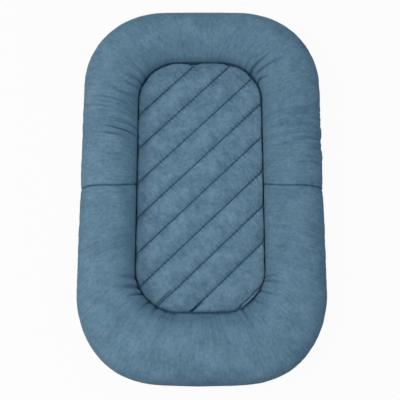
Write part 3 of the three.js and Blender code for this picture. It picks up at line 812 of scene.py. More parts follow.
def shape_cover(piece, length):
    """Creases, ribs and the seams' grooves, as moves along the cloth's normals."""
    along, girth = mapped_places(piece)
    points = points_of(piece)
    from_seam = np.minimum(along, length - along)
    dimple = 0.5 * hump(from_seam, SEAM_DIMPLE) * (1 + 0.6 * unevenness(girth, along, 9 * MM, 30 * MM, 31))
    seam = SEAM_DRAW * (hump(from_seam, SEAM_GROOVE) + dimple)
    folds = creased(points[:, :2], CREASES) * smooth(2 * points[:, 2] / EQUATOR - 1)
    ribs = ribbed(points[:, :2], along, girth)
    held = smooth(np.minimum(girth, COVER_GIRTH - girth) / HELD_EDGE)
    points -= points_of(piece, normals=True) * ((folds + seam - ribs) * held)[:, None]
    plan, around = points[:, :2], girth / COVER_GIRTH
    push_out(plan, np.maximum(inside_hollow(plan, HOLLOW_EASE), 0))
    wall = ramp(around, *WALL_SHARES) * ramp(around, *WALL_FOOT_SHARES)
    push_out(plan, np.minimum(inside_hollow(plan, HOLLOW_EASE) + WALL_EASE, 0) * wall)
    move_points(piece, points)
    right, headwards = outwards_from_hollow(plan).T
    # Painted shade low on the inner wall, in the crease where the cover meets the pad, starting later at the
    # head and earlier at the foot.
    wall_shade_from = WALL_SHADE_SHARE + np.where(headwards > 0, 0.02, 0.085) * headwards
    wall_shade = 0.85 * ramp(around, wall_shade_from, wall_shade_from + WALL_SHADE_RAMP)
    # Painted shade on the outer flanks at the right side and the foot.
    flank_shade = ramp(around, *FLANK_SHADE_SHARES) * np.clip(0.26 * right - 0.29 * headwards, 0, 0.32)
    # Painted shade on the inner side at the foot.
    foot_side_shade = 0.2 * ramp(around, *FOOT_SIDE_SHADE_SHARES) * np.clip(-headwards, 0, 1)
    # Painted shade in creases and rib valleys, and along each seam, where the pile is also flattened.
    shade = np.clip(folds / CREASE_SHADE, 0, 0.55) + np.clip(-ribs / RIB_SHADE, 0, 0.3)
    mark(piece, "pressed_pile_and_painted_shade", 0.8 * hump(from_seam, SEAM_LINE) + shade + wall_shade + flank_shade + foot_side_shade)
    # Painted light on the inner slope at the head and the left side, kept off the painted wall shade.
    lit_slope = ramp(around, *LIT_SLOPE_SHARES) * np.clip(headwards - right, 0, 1)
    mark(piece, "relief_or_painted_light", 0.15 * lit_slope * (wall_shade < 0.1))


print("The seams swing", (SEAM_SWING + SEAM_HOOK) / MM, "mm towards the head")

# %% The cover's two halves
COVER_CELL = 3.2 * MM  # along the tube, where creases and ribs are narrow
COVER_CELL_ROUND = 7.6 * MM  # round the tube
COVER_CLOTH = 1.6 * MM
COVER_LIFT = 1.2 * MM  # the soft cover stands a little outside the plain solid
COVER_LIMIT = 5 * MM
CORNER_SPARE = 0.06


def cover_half(name, end, node):
    joints, quarter = outline_joints(end)
    piece, share, girth = strip(name, round(2 * quarter / COVER_CELL), round(COVER_GIRTH / COVER_CELL_ROUND))
    share = share if end > 0 else 1 - share  # so that the faces look outwards
    angle = np.interp(girth, cover_shares, cover_angles)
    points = tube_points(share, angle, end, -COVER_LIFT)
    from_seam = 2 * quarter * np.minimum(share, 1 - share)
    points[:, 1] += seam_swing(angle, from_seam)
    move_points(piece, points)
    keep_map(piece, 2 * quarter * share, girth * COVER_GIRTH)
    at_edge = (from_seam < 1e-6) | (girth < 1e-6) | (girth > 1 - 1e-6)
    turn = 2 * np.minimum(share, 1 - share)
    corner_start, corner_end = 0.8 * joints[0], joints[1]
    in_corner = ramp(turn, corner_start, corner_start + 0.1) * (1 - ramp(turn, corner_end, corner_end + 0.12))
    inner_side = ramp(angle / math.pi, 0.5, 0.75)
    inflate(piece, at_edge * 1.0, in_corner * inner_side, CORNER_SPARE, COVER_LIMIT)
    apply(piece, "SUBSURF", levels=1, render_levels=1)
    shape_cover(piece, 2 * quarter)
    apply(piece, "SOLIDIFY", thickness=COVER_CLOTH, offset=-1)
    finish(piece, bolster_velvet, "velvet", node, fill=0.8)


cover_half("head_cover", 1, "bumper_cover_head")
cover_half("foot_cover", -1, "bumper_cover_foot")

# %% [markdown]
# Under the cover lies the filling, one ring of loose fibre. A torus primitive already closes on
# itself both ways, so it only has to be drawn out to the ring's outline and section. It stays a
# little inside the cover, because the cover's creases sink into it.

# %% Filling
FILLING_EASE = 5.5 * MM
FILLING_LUMP = 1.2 * MM


def round_ring(name, around, sides):
    """A torus primitive: the head or foot half of each point, its share of that half, and its turn."""
    deselect()
    bpy.ops.mesh.primitive_torus_add(major_segments=around, minor_segments=sides, major_radius=1,
                                     minor_radius=0.25)
    piece = bare_primitive(name)
    x, y, z = points_of(piece).T
    round_share = np.arctan2(y, x) / math.pi
    turn = np.arctan2(z, np.hypot(x, y) - 1)
    return piece, np.where(round_share >= -1e-6, 1, -1), np.abs(round_share), turn


def both_halves(end, share, place):
    """Joins what a function of (share, end, own points) gives on the head half and the foot half."""
    found = {half: place(share[end == half], half, end == half) for half in (1, -1)}
    points = np.zeros((len(end), found[1].shape[1]))
    for half in found:
        points[end == half] = found[half]
    return points


filling, end, share, turn = round_ring("ring_filling", 256, 64)
shares, angles, girth = even_angles(0, 2 * math.pi)
turn = np.interp((turn / (2 * math.pi)) % 1, shares, angles)
depth = FILLING_EASE + FILLING_LUMP * unevenness(share * 1000 + 400 * end, turn * 60, 38, 30, 5)
points = both_halves(end, share, lambda s, half, own: tube_points(s, turn[own], half, depth[own]))
move_points(filling, points)
finish(filling, fibre, "stuffing", "bumper_filling", fill=0.8)

# %% [markdown]
# Stitches show as short dashes of thread, each one pulled into the cloth at both ends. One stitch is
# modelled from a small sphere and copied along every seam, and each row of copies is one piece.

# %% Stitches
STITCH_LENGTH = 3.4 * MM
STITCH_PITCH = 4.2 * MM
THREAD_THICK = 1 * MM
STITCH_DROP = 0.35 * THREAD_THICK


def take_model(points):
    """The points and faces of the model that is at hand, which is then thrown away."""
    model = bpy.context.object
    faces = [list(face.vertices) for face in model.data.polygons]
    bpy.data.objects.remove(model)
    return points, faces


deselect()
bpy.ops.mesh.primitive_uv_sphere_add(segments=6, ring_count=5, radius=0.5)
bpy.ops.object.mode_set(mode="EDIT")
bpy.ops.transform.rotate(value=math.pi / 2, orient_axis="X", center_override=(0, 0, 0))
bpy.ops.transform.resize(value=(THREAD_THICK, STITCH_LENGTH, THREAD_THICK))
bpy.ops.object.mode_set(mode="OBJECT")
points = points_of(bpy.context.object)
points[:, 2] -= (2 * points[:, 1] / STITCH_LENGTH) ** 2 * STITCH_DROP
stitch_model = take_model(points)
print("One stitch has", len(stitch_model[1]), "faces")


def copies(name, model, places, directions, ups):
    """One piece made of copies. Each copy's Y axis lies along its direction and its Z axis along up."""
    points, faces = model
    directions, ups = [np.zeros(places.shape) + way for way in (directions, ups)]
    along = directions / np.linalg.norm(directions, axis=1)[:, None]
    side = np.cross(along, ups)
    side /= np.linalg.norm(side, axis=1)[:, None]
    axes = np.stack([side, along, np.cross(side, along)], axis=1)
    placed = np.einsum("pk,nkj->npj", points, axes) + places[:, None, :]
    first = len(points) * np.arange(len(places))
    numbered = [[corner + start for corner in face] for start in first.tolist() for face in faces]
    mesh = bpy.data.meshes.new(name)
    mesh.from_pydata(placed.reshape(-1, 3).tolist(), [], numbered)
    piece = bpy.data.objects.new(name, mesh)
    bpy.context.scene.collection.objects.link(piece)
    return piece


def stitch_along(name, line, ups, node, body="lounger"):
    """Stitches at an even pitch along a line of points, as a piece that stands for a node."""
    run = run_along(line)
    middles = np.arange(STITCH_PITCH / 2, run[-1], STITCH_PITCH)
    ahead, behind = [points_at(line, run, middles + step * STITCH_PITCH / 4) for step in (1, -1)]
    ups = points_at(ups + 0 * line, run, middles)
    piece = copies(name, stitch_model, points_at(line, run, middles), ahead - behind, ups)
    finish(piece, thread, "thread", node, body=body)

# %% Thread of the side seams
SEAM_STITCH_SINK = 0.4 * MM
SEAM_STITCH_ENDS = (OUTER_EDGE + 0.08, INNER_EDGE - 0.3)  # the thread stops short of both edges
SEAM_SAMPLES = 160

angle = np.linspace(*SEAM_STITCH_ENDS, SEAM_SAMPLES)
for side, share in (("right", 0.0), ("left", 1.0)):
    share = np.full(len(angle), share)
    line = tube_points(share, angle, 1, SEAM_DRAW + SEAM_STITCH_SINK)
    ups = tube_points(share, angle, 1) - line
    line[:, 1] += seam_swing(angle, 0)
    stitch_along(f"{side}_seam_stitches", line, ups, f"side_seam_thread_{side}")

# %% [markdown]
# The flat cloths and the foam are cut to rounded outlines. A grid primitive is stretched over each
# outline as over an embroidery hoop: its four sides follow the outline and its inside follows them,
# so its squares stay even. Solidify gives the cloth its thickness.

# %% Helper for panels
HOOP_SAMPLES = 240
RIPPLE_CELLS = (34 * MM, 41 * MM)
LEVEL_RIM = 0.03  # the ripples fade over this share of the sheet, so that its rim lies level


def panel(name, outline, bottom, thickness, cell, ripple=0, seed=1):
    """A sheet cut to an outline, lying at a height, with its faces up and its thickness above it."""
    # The outline's four sides meet in the middles of its corners.
    foot, head = [sum(outline_joints(end)[0]) / 4 for end in (-1, 1)]
    run = lambda start, stop, end: outline(np.linspace(start, stop, HOOP_SAMPLES), end)
    lower = run(1 - foot, foot, -1)
    upper = run(1 - head, head, 1)
    left = np.vstack([run(1 - foot, 1, -1)[:-1], run(1, 1 - head, 1)])
    right = np.vstack([run(foot, 0, -1)[:-1], run(0, head, 1)])
    columns = round((right[:, 0].max() - left[:, 0].min()) / cell)
    rows = round((upper[:, 1].max() - lower[:, 1].min()) / cell)
    piece, u, v = strip(name, columns, rows)
    at = lambda line, share: points_at(line, run_along(line), share * run_along(line)[-1])
    edge = np.minimum.reduce([u, 1 - u, v, 1 - v])
    sides = (lower, upper, left, right)
    below, above, on_left, on_right = [at(line, share) for line, share in zip(sides, (u, u, v, v))]
    u, v = u[:, None], v[:, None]
    plan = (1 - v) * below + v * above + (1 - u) * on_left + u * on_right
    plan -= (1 - v) * ((1 - u) * lower[0] + u * lower[-1]) + v * ((1 - u) * upper[0] + u * upper[-1])
    rise = ripple * (1 + unevenness(*plan.T, *RIPPLE_CELLS, seed)) / 2 * smooth(edge / LEVEL_RIM)
    move_points(piece, np.column_stack([plan, bottom + rise]))
    keep_map(piece, *plan.T)
    apply(piece, "SOLIDIFY", thickness=thickness, offset=1)
    return piece


def under_ring(angle, depth):
    """An outline for a panel: the line at one angle of the ring's tube."""
    return lambda share, end: tube_points(share, angle, end, depth)[:, :2]


def in_hollow(inset):
    """An outline for a panel: the hollow's, moved inwards."""
    return lambda share, end: hollow_outline(share, end, inset)

# %% [markdown]
# Blocks of cloth and metal start as cubes. A few helpers round the edges that a real cutter or die
# would round, and join or cut blocks with booleans, which is how a maker builds up a casting too.

# %% Helpers for blocks
def block(name, low, high):
    """A cube primitive between two corners."""
    deselect()
    low, high = np.array(low), np.array(high)
    bpy.ops.mesh.primitive_cube_add(size=1, location=(low + high) / 2, scale=high - low)
    piece = bpy.context.object
    piece.name = name
    bpy.ops.object.transform_apply(location=True, rotation=True, scale=True)
    return piece


def upright(a, b):
    """Whether the edge between two points runs upwards."""
    return abs(a[2] - b[2]) > 1e-6


def round_edges(piece, width, segments, chosen=upright):
    """Bevels the edges that a test of their two ends chooses."""
    take_up(piece)
    points = points_of(piece)
    mesh = piece.data
    for part in (*mesh.vertices, *mesh.edges, *mesh.polygons):
        part.select = False
    for edge in mesh.edges:
        a, b = edge.vertices
        if chosen(points[a], points[b]):
            edge.select = mesh.vertices[a].select = mesh.vertices[b].select = True
    bpy.ops.object.mode_set(mode="EDIT")
    bpy.ops.mesh.select_mode(type="EDGE")
    bpy.ops.mesh.bevel(offset=width, segments=segments, affect="EDGES")
    bpy.ops.object.mode_set(mode="OBJECT")


def soften(piece, width, segments=3):
    """Rounds every sharp edge a little."""
    apply(piece, "BEVEL", width=width, segments=segments, limit_method="ANGLE", angle_limit=math.radians(60))


def combine(piece, other, operation):
    """Joins a piece with another one, or cuts that out of it."""
    apply(piece, "BOOLEAN", operation=operation, object=other, solver="EXACT")
    bpy.data.objects.remove(other)


def cut(piece, low, high, corner):
    """Cuts an upright slot with rounded corners out of a piece."""
    cutter = block("cutter", low, high)
    round_edges(cutter, corner, 6)
    combine(piece, cutter, "DIFFERENCE")

# %% Base, floor and their wadding
GAP = 0.3 * MM
BASE_CLOTH = 1.5 * MM
FLOOR_CLOTH = 1.2 * MM
PANEL_CELL = 7 * MM
HEM_WIDTH = 10 * MM
WADDING_CLEAR = 17 * MM
WADDING_LOFT = 0.6 * MM  # the wadding's upper face rises and falls by this much
WADDING_EASE = 0.2 * MM
slider_low, slider_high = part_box("zip_slider")
tab_low, tab_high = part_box("zip_pull_tab")
tape_low, tape_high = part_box("zip_tape_right")
SLOT_HALF = slider_high.x + 1.7 * MM
SLOT_CORNER = 0.9 * SLOT_HALF
SLOT_END = 6 * MM
SLOT_FOOT_Y = -tape_high.y - SLOT_END
SLOT_HEAD_Y = tab_high.y + SLOT_END


def cut_slot(piece, half_width, past_ends, corner):
    """Cuts the zip's slot, or a wider one, right through a piece."""
    cut(piece, (-half_width, SLOT_FOOT_Y - past_ends, -HEM_WIDTH),
        (half_width, SLOT_HEAD_Y + past_ends, HEM_WIDTH), corner)


base_cloth = panel("base_cloth", under_ring(OUTER_EDGE, 0), 0, BASE_CLOTH, PANEL_CELL)
cut_slot(base_cloth, SLOT_HALF, 0, SLOT_CORNER)
finish(base_cloth, lining, "lining", "base_panel")

wadding_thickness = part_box("base_wadding")[1].z - BASE_TOP - WADDING_LOFT - WADDING_EASE
wadding = panel("base_wadding_sheet", under_ring(INNER_EDGE, COVER_CLOTH), BASE_TOP, wadding_thickness,
                PANEL_CELL, ripple=WADDING_LOFT, seed=3)
cut_slot(wadding, WADDING_CLEAR, HEM_WIDTH, 0.3 * WADDING_CLEAR)
finish(wadding, fibre, "stuffing", "base_wadding")

floor_cloth = panel("floor_cloth", under_ring(INNER_EDGE, 0.2 * COVER_CLOTH), FLOOR_TOP - GAP - FLOOR_CLOTH,
                    0.8 * FLOOR_CLOTH, PANEL_CELL / 2, ripple=0.5 * MM, seed=7)
finish(floor_cloth, lining, "lining", "floor_panel")

# %% [markdown]
# Round the zip's slot the base cloth is turned over into a hem, which a row of stitches holds. The
# zip itself is two woven tapes, each with a coil of nylon loops along its edge, and metal stops at
# both ends. One loop is a bent torus, and it is copied at the coil's real pitch.

# %% Hem round the slot
HEM_STITCH_INSET = 3.5 * MM
HEM_STITCH_Z = 0.25 * MM
HEM_CORNER = 4 * MM
ARC_STEPS = 12

hem = block("slot_hem", (-SLOT_HALF - HEM_WIDTH, SLOT_FOOT_Y - HEM_WIDTH, 0.8 * BASE_CLOTH),
            (SLOT_HALF + HEM_WIDTH, SLOT_HEAD_Y + HEM_WIDTH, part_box("base_panel")[1].z))
round_edges(hem, HEM_CORNER, 5)
cut_slot(hem, SLOT_HALF, 0, SLOT_CORNER)
soften(hem, 0.6 * MM)
keep_map(hem, *points_of(hem)[:, :2].T)
finish(hem, lining, "lining", "base_panel")

turns = np.linspace(0, math.pi / 2, ARC_STEPS)
arc = SLOT_HALF * np.column_stack([np.cos(turns), np.sin(turns)]) - SLOT_HALF
side_x = SLOT_HALF + HEM_STITCH_INSET
right = np.vstack([arc[::-1] * [1, -1] + [side_x, SLOT_FOOT_Y - HEM_STITCH_INSET],
                   arc + [side_x, SLOT_HEAD_Y + HEM_STITCH_INSET]])
plan = np.vstack([right, right[::-1] * [-1, 1], right[:1]])
line = np.column_stack([plan, np.full(len(plan), HEM_STITCH_Z)])
stitch_along("hem_stitches", line, [0, 0, -1], "base_panel")

# %% Tapes, coils and stops
COIL_PITCH = 1.5 * MM
COIL_WIRE = 0.34 * MM  # half the thickness of the nylon
COIL_HEAD_X = 0.65 * MM  # the loops' heads stand this far from the zip's middle
TORUS_TUBE = 0.3
TAPE_CLOTH = 0.4 * MM
TAPE_RISE = 0.05 * MM
TAPE_WAVE = 0.12 * MM
coil_low, coil_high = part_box("zip_coil_right")

deselect()
bpy.ops.mesh.primitive_torus_add(major_segments=12, minor_segments=5, major_radius=1,
                                 minor_radius=TORUS_TUBE)
x, y, z = points_of(bpy.context.object).T
around = np.arctan2(y, x)
swell = (np.hypot(x, y) - 1) * COIL_WIRE / TORUS_TUBE
half_length = (coil_high.x - COIL_HEAD_X) / 2 - COIL_WIRE
half_height = (coil_high.z - coil_low.z) / 2 - COIL_WIRE
loop_model = take_model(np.column_stack([
    np.cos(around) * (half_length + swell),
    z * COIL_WIRE / TORUS_TUBE + np.sin(around) * COIL_PITCH / 4,
    np.sin(around) * (half_height + swell),
]))
for side, name in ((1, "right"), (-1, "left")):
    start = coil_low.y + COIL_PITCH * (0.5 if side > 0 else 1)
    rows = np.arange(start, coil_high.y - COIL_PITCH / 2, COIL_PITCH)
    places = np.column_stack([0 * rows + side * (COIL_HEAD_X + coil_high.x) / 2, rows,
                              0 * rows + (coil_low.z + coil_high.z) / 2])
    coil = copies(f"nylon_coil_{name}", loop_model, places, [0, -side, 0], [0, 0, 1])
    finish(coil, nylon, "zip_coil", f"zip_coil_{name}")
    tape, u, v = strip(f"woven_tape_{name}", 16, 210)
    x = side * (tape_low.x + (tape_high.x - tape_low.x) * (u if side > 0 else 1 - u))
    y = tape_low.y + (tape_high.y - tape_low.y) * v
    wave = TAPE_WAVE * unevenness(y, x, 25 * MM, 20 * MM, 51 + side) * ramp(np.abs(x), 4 * MM, 10 * MM)
    move_points(tape, np.column_stack([x, y, tape_low.z + TAPE_RISE + wave]))
    keep_map(tape, x, y)
    apply(tape, "SOLIDIFY", thickness=TAPE_CLOTH, offset=1)
    finish(tape, tape_weave, "zip_tape", f"zip_tape_{name}")
for name in ("top_stop_right", "top_stop_left", "bottom_stop"):
    stop = block(name, *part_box(f"zip_{name}"))
    soften(stop, 0.45 * MM)
    finish(stop, zinc, "zip_metal", f"zip_{name}")

# %% [markdown]
# The slider is two plates joined by a post, with a flange down each side of the upper one that keeps
# the loops together. The bail under it is a bent bar, and the pull tab's eye hangs on that bar.

# %% Slider and pull tab
PLATE = 1 * MM
FLANGE = 0.8 * MM
PLATE_CORNER = 3.2 * MM
POST_HALF = 0.6 * MM
POST_DEPTH = 2.6 * MM
POST_BACK = 0.4 * MM
PIVOT_Y = (slider_low.y + slider_high.y) / 2
BAIL_HALF_WIDTH = 0.7 * MM
BAIL_HALF = 3.5 * MM
BAIL_BAR = 0.8 * MM
EYE_HALF = BAIL_HALF_WIDTH + 0.8 * MM
EYE_END = 4.9 * MM  # the eye reaches this far past the pivot
EYE_CORNER = 0.6 * MM
TAB_TIP_CORNER = 2.8 * MM
TAB_EYE_CORNER = 0.9 * MM
lower_z = tape_low.z - GAP - PLATE
right_x, head_y, top_z = slider_high


def plate(name, low_z):
    """A plate of the slider, with large corners at the foot end and smaller ones at the head end."""
    piece = block(name, (-right_x, slider_low.y, low_z), (right_x, head_y, low_z + PLATE))
    round_edges(piece, PLATE_CORNER, 6, lambda a, b: upright(a, b) and a[1] < PIVOT_Y)
    round_edges(piece, PLATE_CORNER / 2, 5, lambda a, b: upright(a, b) and a[1] > head_y - 0.1 * MM)
    return piece


slider = plate("slider", lower_z)
combine(slider, plate("upper_plate", top_z - PLATE), "UNION")
post = block("post", (-POST_HALF, head_y - POST_BACK - POST_DEPTH, lower_z + PLATE / 2),
             (POST_HALF, head_y - POST_BACK, top_z - PLATE / 2))
combine(slider, post, "UNION")
for inner_x, outer_x in ((right_x - FLANGE, right_x), (-right_x, FLANGE - right_x)):
    flange = block("flange", (inner_x, slider_low.y + PLATE_CORNER, coil_low.z),
                   (outer_x, head_y - PLATE_CORNER / 2, top_z - PLATE / 2))
    combine(slider, flange, "UNION")
bail = block("bail", (-BAIL_HALF_WIDTH, PIVOT_Y - BAIL_HALF, slider_low.z),
             (BAIL_HALF_WIDTH, PIVOT_Y + BAIL_HALF, lower_z + PLATE / 2))
window = block("window", (-4 * BAIL_HALF_WIDTH, PIVOT_Y - BAIL_HALF + BAIL_BAR, slider_low.z + BAIL_BAR),
               (4 * BAIL_HALF_WIDTH, PIVOT_Y + BAIL_HALF - BAIL_BAR, lower_z))
combine(bail, window, "DIFFERENCE")
soften(bail, 0.3 * MM)
combine(slider, bail, "UNION")
soften(slider, 0.12 * MM, 2)
finish(slider, zinc, "zip_metal", "zip_slider", body="zip_slider")

pull = block("pull_tab", tab_low, tab_high)
round_edges(pull, TAB_TIP_CORNER, 7, lambda a, b: upright(a, b) and a[1] > PIVOT_Y + EYE_END)
round_edges(pull, TAB_EYE_CORNER, 4, lambda a, b: upright(a, b) and a[1] < PIVOT_Y)
eye_start_y = PIVOT_Y + (tab_high.z - tab_low.z) / 2
cut(pull, (-EYE_HALF, eye_start_y, 0), (EYE_HALF, PIVOT_Y + EYE_END, 2 * tab_high.z), EYE_CORNER)
soften(pull, 0.18 * MM)
finish(pull, zinc, "zip_metal", "zip_pull_tab", body="zip_pull")

# %% [markdown]
# The pad is foam in a bag: a woven back, a velvet band round the side and a quilted velvet top, with
# a piped edge where top and band meet. The quilting is eight straight rows of stitches through a
# layer of wadding, which puffs up between them. The top's strip is laid with its rows along the
# stitches, closer together beside each row, so that every groove can be sharp.

# %% The pad's rows of quilting
PIPING_RADIUS = 1.8 * MM
PAD_INSET = PAD_EASE + PIPING_RADIUS
QUILT_ROWS = 8
QUILT_ANGLE = math.radians(44)
TIP_INSET = 1.5 * MM
HALVINGS = 40
along_row = np.array([math.cos(QUILT_ANGLE), math.sin(QUILT_ANGLE)])
across_row = np.array([-along_row[1], along_row[0]])


def thread_place(number):
    """How far across the pad a row of stitches lies."""
    low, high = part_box(f"quilt_thread_{number}")
    return (np.array([low.x + high.x, low.y + high.y]) / 2 - [0, hollow_middle[1]]) @ across_row


stitch_rows = np.array([thread_place(number + 1) for number in range(QUILT_ROWS)])
QUILT_PITCH = (stitch_rows[-1] - stitch_rows[0]) / (QUILT_ROWS - 1)
corner_middle = np.array([HOLLOW_CORNER - HOLLOW_X, HOLLOW_END_Y[1] - HOLLOW_CORNER - hollow_middle[1]])
QUILT_REACH = corner_middle @ across_row + HOLLOW_CORNER - PAD_INSET - TIP_INSET
print("The rows of stitches are", round(QUILT_PITCH / MM, 1), "mm apart")


def quilt_plan(along, across):
    return hollow_middle + along[:, None] * along_row + across[:, None] * across_row


def nearest_row(across):
    """The nearest row of stitches to each place across the pad, and how far past it that place is."""
    past = across[:, None] - stitch_rows
    nearest = np.argmin(np.abs(past), axis=1)
    return nearest, past[np.arange(len(across)), nearest]


def row_end(across, towards, margin):
    """Where rows come within a margin of the pad's edge on one side, found by halving."""
    start = across / QUILT_REACH * (corner_middle @ along_row)
    inside = 0 * across
    outside = inside + END_Y * 2
    for _ in range(HALVINGS):
        middle = (inside + outside) / 2
        within = inside_hollow(quilt_plan(start + towards * middle, across), PAD_INSET) > margin
        inside = np.where(within, middle, inside)
        outside = np.where(within, outside, middle)
    return start + towards * inside

# %% [markdown]
# At the lower right corner the top is pulled in, so that the piping shows beside it. That pull is a
# share at each plan point, which moves the top, the wadding, the foam and the piping together.

# %% The pulled-in corner
TUCK_PLACE = np.array([108, -250]) * MM
TUCK_REACH = 30 * MM
TUCK_FADE = 30 * MM  # how far into the pad the pull fades away
TUCK_PULL = 6 * MM
TUCK_RISE = 5 * MM  # there the piping stands this much higher,
TUCK_SWELL = 1.2 * MM  # is this much fuller
TUCK_SHIFT = 2.2 * MM  # and lies this far inwards


def tuck(plan):
    """How strongly the top is pulled in over the piping at plan points, as a share."""
    return np.exp(-((np.linalg.norm(plan - TUCK_PLACE, axis=1) / TUCK_REACH) ** 4))


def tuck_near_rim(plan, inset):
    return tuck(plan) * (1 - smooth(inside_hollow(plan, inset) / TUCK_FADE))


def keep_inside(plan, inset):
    """Moves plan points back inside the hollow's inset outline, in place, and gives its true inset."""
    inset = inset + TUCK_PULL * tuck(plan)
    push_out(plan, np.minimum(inside_hollow(plan, inset), 0))
    return inset


print("The top is pulled in by", TUCK_PULL / MM, "mm at", (TUCK_PLACE / MM).tolist())

# %% Strip of the quilted top
PIPING_Z = (pad_low.z + pad_high.z) / 2
QUILT_CLOTH = 1.4 * MM
QUILT_SEAM_Z = PIPING_Z + QUILT_CLOTH
QUILT_PUFF = 10 * MM
PUFF_POWER = 1.1
EDGE_ROLL = 6 * MM
EDGE_BULGE = 5 * MM  # the puffed edge hangs out over the piping
CHANNEL_SHARES = [0, 0.03, 0.07, 0.13, 0.21, 0.31, 0.43, 0.56, 0.7, 0.85, 1]  # of half a channel
QUILT_COLUMNS = 112
COLUMN_CROWDING = 0.35  # columns stand closer together towards the ends of a row


def rounded(share):
    return np.sqrt(1 - (1 - np.clip(share, 0, 1)) ** 2)


half = np.array(CHANNEL_SHARES) / 2
shares = np.concatenate([half, 1 - half[-2:0:-1]])
edges = [-QUILT_REACH, *stitch_rows, QUILT_REACH]
channels = [low + (high - low) * shares for low, high in zip(edges, edges[1:])]
quilt_lines = np.concatenate([*channels, edges[-1:]])
print("The top's strip has", len(quilt_lines), "lines across the pad")


def quilt_strip(name, depth):
    """The quilted top's strip at a depth under its face: the piece, its places across, and its shares."""
    last = len(quilt_lines) - 1
    piece, u, v = strip(name, QUILT_COLUMNS, last)
    across = quilt_lines[np.rint(v * last).astype(int)]
    low_end, high_end = row_end(across, -1, 0), row_end(across, 1, 0)
    crowded = u - COLUMN_CROWDING * np.sin(2 * math.pi * u) / (2 * math.pi)
    plan = quilt_plan(low_end + (high_end - low_end) * crowded, across)
    to_row = np.abs(nearest_row(across)[1])
    from_rim = inside_hollow(plan, PAD_INSET) / EDGE_ROLL
    height = QUILT_PUFF * rounded(2 * to_row / QUILT_PITCH) ** PUFF_POWER * rounded(from_rim)
    roll = np.clip(from_rim, 0, 1)
    uneven = 1 + 0.2 * unevenness(*plan.T, 14 * MM, 14 * MM, 15)
    bulge = EDGE_BULGE * uneven * height / QUILT_PUFF * (1 - tuck(plan))
    push_out(plan, (bulge - depth) * 4 * roll * (1 - roll) - TUCK_PULL * tuck_near_rim(plan, PAD_INSET))
    move_points(piece, np.column_stack([plan, QUILT_SEAM_Z - depth + height]))
    keep_map(piece, *plan.T)
    return piece, across, u, v

# %% [markdown]
# The top is held along its rows and its edge while air blows it up. Where real stitches hold velvet,
# the cloth beside them puckers, so short ripples fade away from each row, and softer wrinkles lie
# between the rows. Painted shade is marked at the stitches, where the pile is also flat, in folds and
# at the rim, and painted light along the left edge.

# %% The pad's top
TOP_LIMIT = 3.5 * MM
TOP_SPARE = 0.03
EDGE_GAP = 0.6 * MM  # the top's edge stays this far from the hollow's outline
ON_LINE = 1e-6
PUCKER_PITCH = 10 * MM
PUCKER_REACH = 12 * MM
PUCKER_DEPTH = 0.95 * MM
PUCKER_TURN = 1.7  # the ripples of one row are out of step with the next row's by this
WRINKLE_DEPTH = 1.05 * MM
STITCH_HOLD = 1.5 * MM
STITCH_SHADE = 1.8 * MM
EDGE_SHADE = 1.7 * MM
EDGE_SHADE_TOP = QUILT_SEAM_Z + 5 * MM
RIM_SHADE = 8 * MM
LIT_RIM = 20 * MM
# Small folds in the top, written like the cover's creases.
PAD_FOLDS = [
    ((-97, -262), (-62, -228), 2.6, 2.2),
    ((-24, -284), (8, -256), 2.6, 2.0),
    ((-96, -55), (-62, -60), 2.2, 1.4),
]


def pucker(plan):
    """How high the cloth stands at plan points, and how far they are from their row of stitches."""
    along, across = (plan - hollow_middle) @ along_row, (plan - hollow_middle) @ across_row
    nearest, to_row = nearest_row(across)
    vary = lambda cells, seed, shift=0: unevenness(along + shift, across, cells[0] * MM, cells[1] * MM, seed)
    phase = 2 * math.pi * along / PUCKER_PITCH + 1.8 * vary((23, 17), 11) + PUCKER_TURN * nearest
    ripple = np.cos(phase) * hump(to_row, PUCKER_REACH) * (0.5 + 0.5 * vary((31, 40), 12, 0.37 * nearest))
    wrinkles = vary((7, 20), 13) * (0.5 + 0.5 * vary((50, 35), 14))
    free = smooth(np.abs(to_row) / STITCH_HOLD)
    return (PUCKER_DEPTH * ripple + WRINKLE_DEPTH * wrinkles) * free - creased(plan, PAD_FOLDS), to_row


quilted_top, across, u, v = quilt_strip("quilted_top", 0)
sewn = (np.abs(nearest_row(across)[1]) < ON_LINE) | (np.minimum.reduce([u, 1 - u, v, 1 - v]) < ON_LINE)
inflate(quilted_top, sewn * 1.0, np.ones(len(u)), TOP_SPARE, TOP_LIMIT)
apply(quilted_top, "SUBSURF", levels=1, render_levels=1)
points = points_of(quilted_top)
relief, to_row = pucker(points[:, :2])
points += points_of(quilted_top, normals=True) * relief[:, None]
plan = points[:, :2]
rim = keep_inside(plan, EDGE_GAP)
move_points(quilted_top, points)
right, headwards = outwards_from_hollow(plan).T
inside = inside_hollow(plan)
# Painted shade in the crease at the rim, along the right and foot edges, in folds and wrinkles, and at the
# stitches, where the pile is also flattened; painted light along the left edge.
rim_shade = hump(inside_hollow(plan, rim), EDGE_SHADE) * (points[:, 2] < EDGE_SHADE_TOP)
in_shade = np.clip(0.15 * right - 0.3 * headwards, 0, 1) * (1 - smooth(inside / RIM_SHADE))
shade = np.clip(creased(plan, PAD_FOLDS) / CREASE_SHADE, 0, 0.4) + np.clip(-relief / RIB_SHADE, 0, 0.1)
mark(quilted_top, "pressed_pile_and_painted_shade", 0.8 * hump(to_row, STITCH_SHADE) + 0.9 * rim_shade + shade + in_shade)
mark(quilted_top, "relief_or_painted_light", 0.3 * np.clip(-right, 0, 1) * (1 - smooth(inside / LIT_RIM)))
apply(quilted_top, "SOLIDIFY", thickness=QUILT_CLOTH, offset=-1)
finish(quilted_top, pad_velvet, "velvet", "pad_quilted_top", body="pad", fill=0.7)

# %% Rows of stitches in the pad
STITCH_INSET = 4 * MM
STITCH_RISE = 0.9 * MM
ROW_SAMPLES = 300

